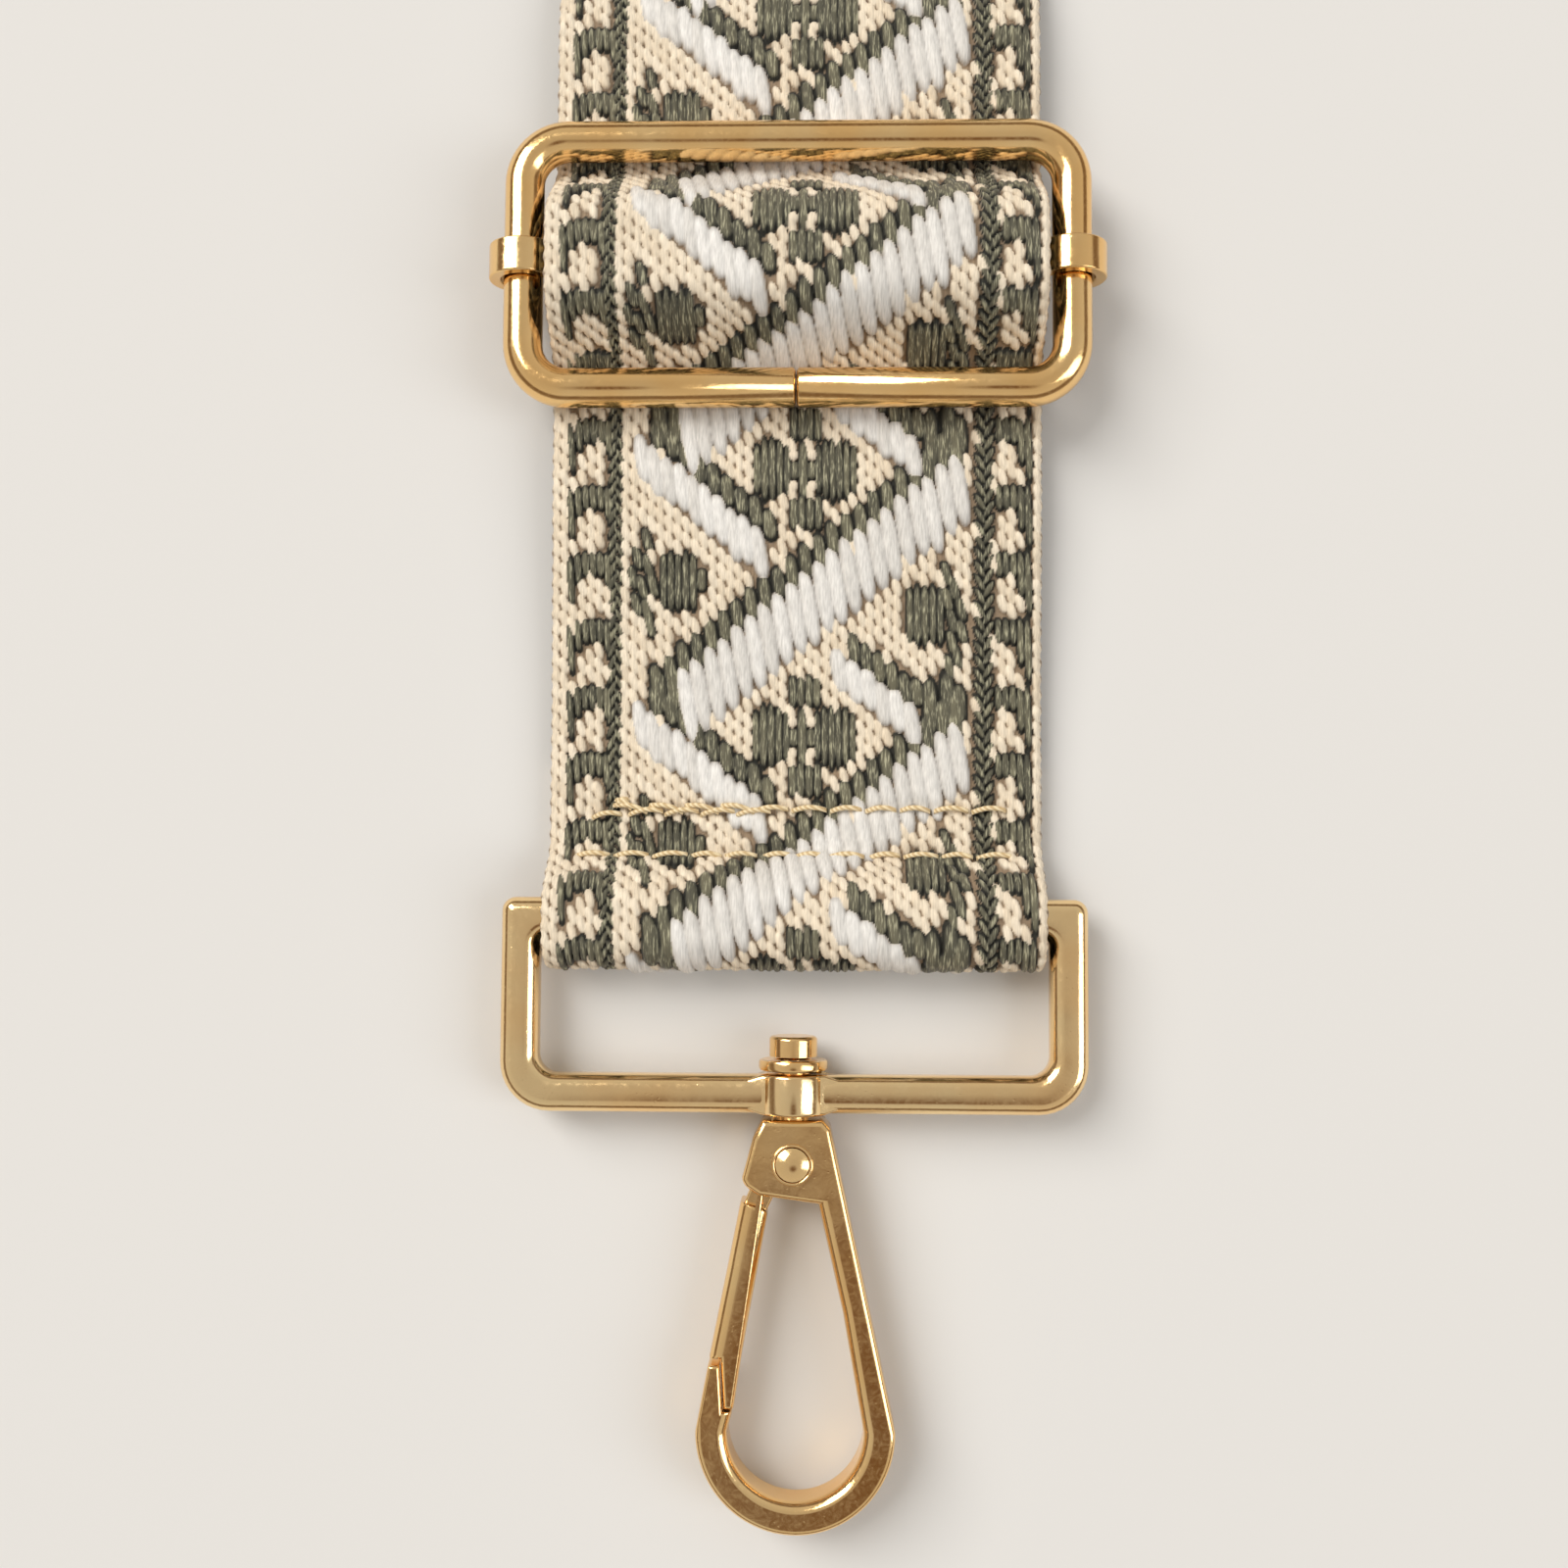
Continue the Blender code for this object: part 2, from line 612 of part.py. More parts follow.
def gate_outline():
    """The gate's limb, with the stepped end that laps inside the hook's nose, measured from the swivel bar."""
    lap = NOSE_TOP - GATE_LAP_DROP
    return [
        (GATE_TOP_INNER_X, GATE_TOP_INNER_Y),
        (GATE_TOP_OUTER_X, GATE_TOP_OUTER_Y),
        (GATE_MID_OUTER_X, GATE_MID_Y),
        (NOSE_OUTER_X, lap),
        (NOSE_INNER_TOP_X - CLEARANCE, lap),
        (NOSE_INNER_SEAT_X - CLEARANCE, NOSE_SEAT - CLEARANCE),
        (NOSE_SEAT_INNER_X, NOSE_SEAT - CLEARANCE),
        (GATE_TONGUE_INNER_X, lap),
        (GATE_MID_INNER_X, GATE_MID_Y),
    ]


def make_gate(prefix, hinge):
    name = prefix + "_gate"
    limb_outline = [(x, y - HOOK_RIVET_PLACE) for x, y in gate_outline()]
    gate = flat_solid(name, limb_outline, GATE_THICKNESS, hinge)
    round_edges(gate, GATE_EDGE_ROUND)
    root_side = [
        (GATE_TOP_OUTER_X - GATE_EDGE_ROUND, GATE_TOP_OUTER_Y + GATE_EDGE_ROUND - HOOK_RIVET_PLACE),
        (GATE_MID_OUTER_X - GATE_EDGE_ROUND, GATE_MID_Y - HOOK_RIVET_PLACE),
        (GATE_MID_INNER_X + GATE_EDGE_ROUND, GATE_MID_Y - HOOK_RIVET_PLACE),
        (GATE_TOP_INNER_X + GATE_EDGE_ROUND, GATE_TOP_INNER_Y - HOOK_RIVET_PLACE),
    ]
    root_outline = arc((0, 0), GATE_ROOT_RADIUS, GATE_ROOT_START, GATE_ROOT_END, ARC_STEPS) + root_side
    root = helper(flat_solid(name + "_root", root_outline, GATE_ROOT_THICKNESS, hinge, CUTTERS))
    combine(gate, root, "UNION")
    through = GATE_ROOT_THICKNESS / 2 + CUT_OVERRUN
    bore = helper(rod(name + "_bore", RIVET_SHAFT_RADIUS + CLEARANCE, -through, through, hinge))
    combine(gate, bore, "DIFFERENCE")
    pocket_radius = SPRING_RADIUS + SPRING_WIRE / 2 + CLEARANCE
    floor = SPRING_POCKET_FLOOR - GATE_ROOT_THICKNESS / 2
    pocket = helper(rod(name + "_pocket", pocket_radius, floor, through, hinge))
    combine(gate, pocket, "DIFFERENCE")
    finish_look(gate, POLISHED_GOLD)


def make_gate_fittings(prefix, hinge):
    """The headed rivet that the gate turns on, and the coil spring round it that closes the gate."""
    shoulder = CHEEK_GAP / 2
    face = HOOK_THICKNESS / 2 + RIVET_PROUD
    upper = [(0, face + RIVET_DOME), (RIVET_HEAD_RADIUS * math.cos(math.pi / 4), face + RIVET_DOME / 2)]
    upper += [(RIVET_HEAD_RADIUS, face), (RIVET_HEAD_RADIUS, shoulder), (RIVET_SHAFT_RADIUS, shoulder)]
    lower = [(radius, -height) for radius, height in reversed(upper)]
    rivet = turned(prefix + "_gate_rivet", upper + lower, hinge)
    finish_look(rivet, POLISHED_GOLD)

    lift = SPRING_POCKET_FLOOR - GATE_ROOT_THICKNESS / 2 + CLEARANCE + SPRING_WIRE / 2
    steps = SPRING_TURNS * TURN_STEPS // 2
    coil = []
    for i in range(steps + 1):
        angle = 2 * math.pi * SPRING_TURNS * i / steps
        height = lift + SPRING_PITCH * SPRING_TURNS * i / steps
        coil.append((SPRING_RADIUS * math.cos(angle), SPRING_RADIUS * math.sin(angle), height))
    spring = wire_solid(prefix + "_gate_spring", coil, SPRING_WIRE, SPRING_WIRE_RESOLUTION, hinge)
    finish_look(spring, SPRING_STEEL)


def make_clasp(prefix, end):
    """A ring, its swivel and its hook. The ring turns on the strap, the hook in the ring, the gate in the hook."""
    pivot = carrier(prefix + "_ring_pivot", (0, 0, RING_HEIGHT), end, turn=math.pi)
    make_ring(prefix + "_ring", pivot)
    swivel = carrier(prefix + "_swivel_axis", (0, RING_BAR_SPACING, 0), pivot)
    make_hook_body(prefix + "_hook_body", swivel)
    make_swivel(prefix, swivel)
    hinge = carrier(prefix + "_gate_axis", (0, HOOK_RIVET_PLACE, 0), swivel)
    make_gate(prefix, hinge)
    make_gate_fittings(prefix, hinge)


def main():
    lower_end = carrier("lower_end", (0, LOWER_RING_Y, 0))
    slider = carrier("slider", (0, SLIDER_Y, 0))
    upper_end = carrier("upper_end", (0, RING_TO_RING / 2, 0), turn=math.pi)
    make_webbing(lower_end, slider, upper_end)
    make_slider(slider)
    make_clasp("lower", lower_end)
    make_clasp("upper", upper_end)


main()
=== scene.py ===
# %% [markdown]
# # A detachable bag strap
#
# The real strap is one long strip of patterned webbing, a sliding adjuster made of bent wire, and a swivel
# snap hook on a rectangular ring at each end. The frame holds every rigid piece and joint already. This file
# dresses them: it weaves the webbing's surface, polishes the metal, sews the end down and lights the whole.

# %% Load the frame
import math

import bmesh
import bpy
import numpy as np
from mathutils import Matrix, Vector


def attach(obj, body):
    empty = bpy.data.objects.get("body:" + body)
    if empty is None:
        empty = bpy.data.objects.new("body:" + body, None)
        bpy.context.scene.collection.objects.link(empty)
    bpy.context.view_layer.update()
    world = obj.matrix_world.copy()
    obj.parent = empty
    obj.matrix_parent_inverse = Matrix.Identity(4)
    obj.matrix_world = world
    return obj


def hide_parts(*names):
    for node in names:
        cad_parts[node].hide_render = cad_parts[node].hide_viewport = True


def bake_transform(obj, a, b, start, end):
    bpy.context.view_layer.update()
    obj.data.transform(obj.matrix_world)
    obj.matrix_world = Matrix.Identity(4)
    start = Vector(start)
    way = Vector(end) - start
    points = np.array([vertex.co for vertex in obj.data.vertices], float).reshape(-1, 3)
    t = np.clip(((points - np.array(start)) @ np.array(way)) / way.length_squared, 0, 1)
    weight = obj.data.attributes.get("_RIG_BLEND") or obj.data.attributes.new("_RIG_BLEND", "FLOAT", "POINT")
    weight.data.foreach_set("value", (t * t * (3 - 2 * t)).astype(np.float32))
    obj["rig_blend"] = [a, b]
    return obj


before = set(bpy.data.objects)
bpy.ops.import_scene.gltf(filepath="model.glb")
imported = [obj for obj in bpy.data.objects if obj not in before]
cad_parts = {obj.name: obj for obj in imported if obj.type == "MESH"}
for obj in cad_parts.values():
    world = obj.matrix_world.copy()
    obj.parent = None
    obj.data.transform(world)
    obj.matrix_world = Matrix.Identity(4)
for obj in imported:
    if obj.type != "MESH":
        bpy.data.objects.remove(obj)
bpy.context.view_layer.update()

MM = 0.001
rng = np.random.default_rng(7)

# %% [markdown]
# ## The camera
#
# A camera is placed by fitting it to the photograph: it looks almost straight down from about 17 cm, close
# enough for the raised adjuster to look a little larger than the strap. The lens is set from the same fit.

# %% Put a thing in the scene
def in_scene(name, data):
    """A new object for a mesh, a lamp or a camera, linked to the scene."""
    thing = bpy.data.objects.new(name, data)
    bpy.context.scene.collection.objects.link(thing)
    return thing


# %% Camera
PHOTO_WIDTH = 1600.0
FOCAL_LENGTH = 1700.5  # in the photograph's pixels
TILT_AND_TURN = (3.56, 1.47, 0.32)  # in degrees

camera_data = bpy.data.cameras.new("close_view")
camera_data.sensor_width = 36.0
camera_data.lens = camera_data.sensor_width * FOCAL_LENGTH / PHOTO_WIDTH
camera_data.clip_start = 0.005
camera = in_scene("close_view", camera_data)
camera.location = (0.00328, -0.30703, 0.17159)
camera.rotation_euler = [math.radians(angle) for angle in TILT_AND_TURN]
bpy.context.scene.camera = camera
print("lens", round(camera_data.lens, 1), "mm")

# %% [markdown]
# ## Floor and light
#
# Polished metal shows whatever is round it, so it needs large bright panels and darker gaps between them.
# Two soft panels and a room of soft tones do that. The panels stand several metres back, because a near
# panel would light the upper end of a long strap more than the lower one. The floor stays plain and pale.

# %% Meshes, materials and nodes
def finished_mesh(name, bm):
    """The mesh that a bmesh has become. The bmesh is freed."""
    mesh = bpy.data.meshes.new(name)
    bm.to_mesh(mesh)
    bm.free()
    return mesh


def node_material(name):
    """A material with nodes, its node tree and its Principled shader."""
    material = bpy.data.materials.new(name)
    material.use_nodes = True
    return material, material.node_tree, material.node_tree.nodes["Principled BSDF"]


def add_node(tree, kind, inputs=None, **settings):
    """A new node. Each input gets a value, or a link when it is given another node's output."""
    node = tree.nodes.new(kind)
    for name, value in settings.items():
        setattr(node, name, value)
    for name, value in (inputs or {}).items():
        if isinstance(value, bpy.types.NodeSocket):
            tree.links.new(value, node.inputs[name])
        else:
            node.inputs[name].default_value = value
    return node


# %% Floor
FLOOR_HALF = 12.0
FLOOR_DEPTH = 0.35 * MM  # a little under the frame's floor, where the lowest yarns are

bm = bmesh.new()
bmesh.ops.create_grid(bm, x_segments=2, y_segments=2, size=FLOOR_HALF)
bmesh.ops.translate(bm, verts=bm.verts, vec=(0, 0, -FLOOR_DEPTH))
floor = in_scene("floor", finished_mesh("floor", bm))
floor_material, tree, shader = node_material("pale_floor")
shader.inputs["Base Color"].default_value = (0.70, 0.69, 0.67, 1)
shader.inputs["Roughness"].default_value = 0.85
floor.data.materials.append(floor_material)

# %% Lights
LIT_PLACE = Vector((0, -0.25, 0))


def soft_panel(name, place, size, power, color):
    data = bpy.data.lights.new(name, "AREA")
    data.shape = "RECTANGLE"
    data.size, data.size_y = size
    data.energy = power
    data.color = color
    lamp = in_scene(name, data)
    lamp.location = place
    lamp.rotation_euler = (LIT_PLACE - Vector(place)).to_track_quat("-Z", "Y").to_euler()


soft_panel("key_panel", (-4.8, 3.59, 6.08), (3.84, 6.4), 592.0, (1.0, 0.975, 0.94))
soft_panel("fill_panel", (6.08, -1.53, 5.12), (3.2, 5.76), 184.0, (0.93, 0.96, 1.0))

# %% [markdown]
# The room is painted by direction, from straight down to straight up. One soft dark patch overhead keeps the
# flat polished faces from mirroring an empty ceiling, which would look like paint. The camera itself sees a
# plain pale room.

# %% The room that the metal mirrors
ROOM_TONES = ((0.0, (0.72, 0.70, 0.67)), (0.16, (0.34, 0.25, 0.18)), (0.36, (0.30, 0.22, 0.16)),
              (0.50, (0.95, 0.91, 0.85)), (0.80, (0.86, 0.83, 0.78)), (1.0, (0.78, 0.74, 0.69)))
PATCH_TONE = (0.27, 0.17, 0.11, 1)
SEEN_TONE = (1.18, 1.15, 1.10, 1)
toward_patch = Vector((0.03, -0.30, 0.95)).normalized()

world = bpy.data.worlds.new("soft_room")
bpy.context.scene.world = world
world.use_nodes = True
tree = world.node_tree
direction = add_node(tree, "ShaderNodeTexCoord").outputs["Generated"]
upward = add_node(tree, "ShaderNodeSeparateXYZ", {0: direction}).outputs["Z"]
room = add_node(tree, "ShaderNodeValToRGB", {"Fac": upward})
room.color_ramp.interpolation = "EASE"
while len(room.color_ramp.elements) < len(ROOM_TONES):
    room.color_ramp.elements.new(1.0)
for element, (place, color) in zip(room.color_ramp.elements, ROOM_TONES):
    element.position = place
    element.color = (*color, 1)
from_patch = add_node(tree, "ShaderNodeVectorMath", {0: direction, 1: toward_patch}, operation="DISTANCE")
in_patch = add_node(tree, "ShaderNodeMapRange", {
    "Value": from_patch.outputs["Value"], "From Min": 0.05, "From Max": 0.27, "To Min": 1.0, "To Max": 0.0,
}, interpolation_type="SMOOTHSTEP").outputs[0]
mirrored = add_node(tree, "ShaderNodeMix", {
    "Factor": in_patch, "A": room.outputs["Color"], "B": PATCH_TONE,
}, data_type="RGBA").outputs["Result"]
seen = add_node(tree, "ShaderNodeLightPath").outputs["Is Camera Ray"]
shown = add_node(tree, "ShaderNodeMix", {"Factor": seen, "A": mirrored, "B": SEEN_TONE}, data_type="RGBA")
background = tree.nodes["Background"]
tree.links.new(shown.outputs["Result"], background.inputs["Color"])
background.inputs["Strength"].default_value = 0.66
bpy.context.scene.view_settings.view_transform = "Standard"
print("lights set")

# %% [markdown]
# ## The weave, yarn by yarn
#
# The webbing is a jacquard: cream floats lie in slanting rows like grains of rice, charcoal yarn makes the
# stepped figures, and white satin bars stand proud of both. A flat picture of it would look printed, so the
# surface is worked out as heights. Every yarn that shows is one small rounded form laid on a chart of the
# cloth, and each place on the chart keeps the highest yarn over it.
#
# Sizes here are in millimetres. `x` runs across the strap, `t` along it towards the lower hook, and the
# whole design repeats every 27.2 mm, so the chart is one repeat long.

# %% Chart of one repeat
WEB_WIDTH = 50.0
REPEAT = 27.2
FINE = 0.05
CREAM, DARK, SATIN = 0, 1, 2
BARE_HEIGHT = -0.10
chart_x = np.arange(-WEB_WIDTH / 2, WEB_WIDTH / 2 + FINE / 2, FINE)
chart_rows = round(REPEAT / FINE)
blank = (chart_rows, len(chart_x))
# Bare places start fully deep, so the material paints the full shade of a hollow on them.
chart = {"height": np.full(blank, BARE_HEIGHT), "kind": np.full(blank, -1), "share": np.zeros(blank),
         "deep": np.ones(blank), "near_dark": np.full(blank, -9.0)}
print("chart", blank)

# %% Lay one yarn
ROUND_ACROSS = 2.2
MARGIN = 0.6


def lay(x, t, half_width, half_length, high, kind, lean=0.0, base=0.05, square=4.0):
    """Lay one rounded float, centred on x and t. Its ends are blunter as square grows."""
    down = int((half_length + MARGIN) / FINE) + 1
    side = int((half_width + abs(lean) * half_length + MARGIN) / FINE) + 1
    row = round(t / FINE) + np.arange(-down, down + 1)
    column = round((x + WEB_WIDTH / 2) / FINE) + np.arange(-side, side + 1)
    column = column[(column >= 0) & (column < blank[1])]
    here = np.ix_(row % chart_rows, column)
    dt = row[:, None] * FINE - t
    dx = chart_x[column][None, :] - x - lean * dt
    left_over = 1 - np.abs(dx / half_width) ** ROUND_ACROSS - np.abs(dt / half_length) ** square
    round_part = np.sqrt(np.maximum(left_over, 0))
    level_here = base + high * round_part
    higher = (left_over > 0) & (level_here > chart["height"][here])
    share = rng.uniform()
    # deep is 0 on a yarn's crown and 1 at its edge; the material uses it to paint shade into the hollows.
    for name, value in (("height", level_here), ("kind", kind), ("share", share), ("deep", 1 - round_part)):
        chart[name][here] = np.where(higher, value, chart[name][here])
    if kind == DARK:
        chart["near_dark"][here] = np.maximum(chart["near_dark"][here], left_over)


# %% Slanting rows of upright strands
STRAND_PITCH = 1.38


def slanting_row(left, right, edge, slope, width, high, kind, lean=0.17, fill=0.62, square=3.0):
    """Upright strands side by side. edge is the place of the row's upper edge at x = 0."""
    count = round((right - left) / STRAND_PITCH)
    pitch = (right - left) / count
    for i in range(count):
        x = left + (i + 0.5) * pitch
        top = edge + slope * x + rng.uniform(-0.22, 0.22)
        long = width + rng.uniform(-0.25, 0.35)
        lay(x + rng.uniform(-0.06, 0.06), top + long / 2, fill * pitch, long / 2,
            high * rng.uniform(0.93, 1.05), kind, lean, 0.06, square)


# %% Zigzag: dark outlines, then white bars over them
# Each row is left, right, edge, slope and width. A white bar has its height too.
DARK_HIGH = 0.46
DARK_ROWS = ((-14.9, 16.9, 13.2, -0.80, 3.5), (-14.9, -2.0, 10.8, 0.80, 3.2), (5.2, 17.0, 17.1, 0.73, 3.2))
WHITE_BARS = ((-11.7, 17.3, 16.2, -0.80, 7.7, 0.70), (-16.4, -3.1, 13.6, 0.80, 5.3, 0.64),
              (3.8, 12.5, 19.8, 0.72, 4.6, 0.62))
CORNER_STRANDS = ((13.7, -1.2, 4.6), (15.5, -1.9, 4.2), (16.6, -0.6, 3.4), (-13.9, 25.4, 29.7),
                  (-12.4, 25.0, 29.4))
for row in DARK_ROWS:
    slanting_row(*row, DARK_HIGH, DARK, lean=0.12, fill=0.50, square=3.5)
for bar in WHITE_BARS:
    slanting_row(*bar, SATIN)
for x, top, bottom in CORNER_STRANDS:
    lay(x, (top + bottom) / 2, 0.78, (bottom - top) / 2, DARK_HIGH, DARK, 0.05)
print("satin covers", round(float((chart["kind"] == SATIN).mean()), 3))

# %% Ribbed blocks: the flower and the two flags
RIB_PITCH, RIB_HIGH = 0.78, 0.42
BLOCKS = ((-4.4, -0.5, 1.5, 8.0, 1.7), (1.9, 6.2, 1.5, 8.1, 1.9), (-0.7, 2.6, -1.5, 1.9, 0.7),
          (-0.7, 2.7, 7.5, 11.0, 0.6), (-0.6, 2.0, 4.0, 5.8, 0.3), (0.2, 1.2, 1.9, 7.8, 0.2),
          (-13.9, -10.1, 13.1, 19.3, 0.9), (-10.1, -9.1, 14.8, 17.3, 0.4), (11.2, 15.1, 16.5, 22.8, 0.9))


def ribbed(left, right, top, bottom, corner):
    """A block of fine upright ribs with rounded corners, fullest in the middle."""
    count = max(1, round((right - left) / RIB_PITCH))
    wide = (right - left) / count
    middle, half = (left + right) / 2, (right - left) / 2
    for i in range(count):
        x = left + (i + 0.5) * wide
        out = max(0.0, abs(x - middle) - (half - corner))
        cut = corner - math.sqrt(max(0.0, corner**2 - out**2))
        full = 1 - 0.45 * (abs(x - middle) / half) ** 2
        lay(x, (top + bottom) / 2, 0.50 * wide, (bottom - top) / 2 - cut + rng.uniform(-0.1, 0.1),
            RIB_HIGH * full * rng.uniform(0.85, 1.1), DARK, 0.01, base=0.10, square=5.0)


for block in BLOCKS:
    ribbed(*block)
for x in (-0.3, 1.6):
    for t in (3.3, 6.5):
        lay(x, t, 0.5, 0.62, 0.4, CREAM, base=0.12, square=2.0)

# %% Stems beside the flags
STEM_FLOATS = ((-15.2, 12.0), (-16.2, 13.8), (-15.1, 14.6), (-16.7, 15.8), (-15.7, 16.8), (-14.6, 16.6),
               (-16.3, 18.6), (-15.2, 19.2), (-14.9, 20.7), (15.3, 15.4), (16.1, 16.9), (15.4, 18.0),
               (16.8, 19.0), (15.9, 20.2), (16.9, 21.3), (15.9, 22.4), (16.4, 23.8), (15.6, 24.8))
for x, t in STEM_FLOATS:
    lay(x, t, 0.52, 1.25, 0.38, DARK, 0.22)

# %% Borders
BORDER_STEP = REPEAT / 4
BLOCK_LONG = 2.7
THREAD_PITCH, THREAD_HALF = 0.75, 0.38


def border_thread(x, top, bottom, lean):
    high = 0.44 * rng.uniform(0.85, 1.1)
    lay(x, (top + bottom) / 2, THREAD_HALF, (bottom - top) / 2, high, DARK, lean, 0.08)


for k in range(4):
    start = 6.3 + k * BORDER_STEP
    for x in np.arange(-23.0, -18.6, THREAD_PITCH):
        outer_tail = 3.3 * (-22.0 - x) / 1.1 if x < -22.0 else 0
        inner_tail = 1.0 if x > -19.4 else 0
        border_thread(x, start + 0.10 * (x + 20.8) ** 2, start + BLOCK_LONG + outer_tail + inner_tail, 0.06)
    for x in np.arange(20.6, 24.2, THREAD_PITCH):
        outer_tail = 3.8 * min(1.0, (x - 22.3) / 1.0) if x > 22.3 else 0
        border_thread(x, start, start + BLOCK_LONG + outer_tail - (0.7 if x > 23.8 else 0), 0.04)

# %% Twisted lines beside the borders
TWISTS = 20
for k in range(TWISTS):
    t = k * REPEAT / TWISTS
    lay(-18.75, t, 0.32, 0.95, 0.36, DARK, -0.40, square=2.4)
    lay(-18.05, t + REPEAT / TWISTS / 2, 0.30, 0.85, 0.34, DARK, 0.45, square=2.4)
    lay(18.70, t, 0.38, 0.90, 0.42, DARK, 0.50, square=2.4)
    lay(19.58, t + REPEAT / TWISTS / 2, 0.38, 0.90, 0.42, DARK, -0.50, square=2.4)

# %% Cream ground between the figures
COLUMNS, ROWS_OF_FLOATS = 56, 17
for column in range(COLUMNS):
    x = (column + 0.5) * WEB_WIDTH / COLUMNS - WEB_WIDTH / 2
    for float_row in range(ROWS_OF_FLOATS):
        t = (float_row + 0.5 * (column % 2)) * REPEAT / ROWS_OF_FLOATS
        spot = round(t / FINE) % chart_rows, round((x + WEB_WIDTH / 2) / FINE)
        if chart["kind"][spot] < 0 and chart["near_dark"][spot] < -0.45:
            lay(x + rng.uniform(-0.05, 0.05), t,
                0.50 * rng.uniform(0.92, 1.06), 1.0 * rng.uniform(0.92, 1.08),
                0.46 * rng.uniform(0.85, 1.1), CREAM, 0.24, base=-0.02, square=2.2)

# %% The finished chart
SELVAGE_FROM = 24.0
# Bare cloth next to charcoal yarn is coloured as charcoal. Being fully deep, it gets the near-black painted
# shade between the dark strands.
kind = np.where(chart["kind"] < 0, np.where(chart["near_dark"] > -0.6, DARK, CREAM), chart["kind"])
selvage = np.clip(np.abs(chart_x) - SELVAGE_FROM, 0, 1)[None, :]
cloth_chart = {
    "height": chart["height"] * (1 - 0.4 * selvage) - 0.50 * selvage**3,
    "dark": (kind == DARK).astype(float), "white": (kind == SATIN).astype(float),
    "deep": chart["deep"], "share": chart["share"],
}
print("dark covers", round(float(cloth_chart["dark"].mean()), 3))


# %% Read the chart anywhere
def weave(x, t):
    """The chart's values at any x and t, blended between its four nearest places."""
    across = np.clip((x + WEB_WIDTH / 2) / FINE, 0, blank[1] - 1.001)
    along = np.mod(t / FINE, chart_rows)
    column, row = np.floor(across).astype(int), np.floor(along).astype(int)
    part_x, part_t = across - column, along - row
    below, row = (row + 1) % chart_rows, row % chart_rows

    def blended(values, row):
        return values[row, column] * (1 - part_x) + values[row, column + 1] * part_x

    return {name: blended(values, row) * (1 - part_t) + blended(values, below) * part_t
            for name, values in cloth_chart.items()}


# %% [markdown]
# ## Yarn material
#
# The mesh carries four values for every point: dark, white, deep and share. The material turns them into
# yarn colours, paints shade into the hollows between the yarns where deep is high, adds the fine fibres of
# the yarn, paints pale highlights on the charcoal fibres, and makes the satin smoother than the cotton.

# %% Fibre group
def socket(group, name, kind, way, value=None):
    made = group.interface.new_socket(name, in_out=way, socket_type=kind)
    if value is not None:
        made.default_value = value


fibre_group = bpy.data.node_groups.new("yarn_fibres", "ShaderNodeTree")
socket(fibre_group, "Place", "NodeSocketVector", "INPUT")
socket(fibre_group, "Fineness", "NodeSocketFloat", "INPUT", 9000.0)
socket(fibre_group, "Stretch", "NodeSocketFloat", "INPUT", 0.12)
socket(fibre_group, "Fibre", "NodeSocketFloat", "OUTPUT")
entry = fibre_group.nodes.new("NodeGroupInput").outputs
spread = add_node(fibre_group, "ShaderNodeCombineXYZ", {"X": 1.0, "Y": entry["Stretch"], "Z": 1.0})
drawn_out = add_node(fibre_group, "ShaderNodeVectorMath", {0: entry["Place"], 1: spread.outputs[0]},
                     operation="MULTIPLY")
noise = add_node(fibre_group, "ShaderNodeTexNoise", {
    "Vector": drawn_out.outputs[0], "Scale": entry["Fineness"], "Detail": 2.0})
add_node(fibre_group, "NodeGroupOutput", {"Fibre": noise.outputs[0]})


# %% Small steps that materials share
def mix_color(tree, a, b, factor, blend="MIX"):
    """Mix two colours. Each is a plain colour or another node's output."""
    a, b = ((*value, 1) if isinstance(value, tuple) else value for value in (a, b))
    return add_node(tree, "ShaderNodeMix", {"A": a, "B": b, "Factor": factor},
                    data_type="RGBA", blend_type=blend).outputs["Result"]


def ranged(tree, value, low, high, to_low, to_high):
    return add_node(tree, "ShaderNodeMapRange", {
        "Value": value, "From Min": low, "From Max": high, "To Min": to_low, "To Max": to_high}).outputs[0]


def add_bump(tree, shader, height, strength, distance):
    bump = add_node(tree, "ShaderNodeBump", {
        "Height": height, "Strength": strength, "Distance": distance * MM})
    tree.links.new(bump.outputs["Normal"], shader.inputs["Normal"])


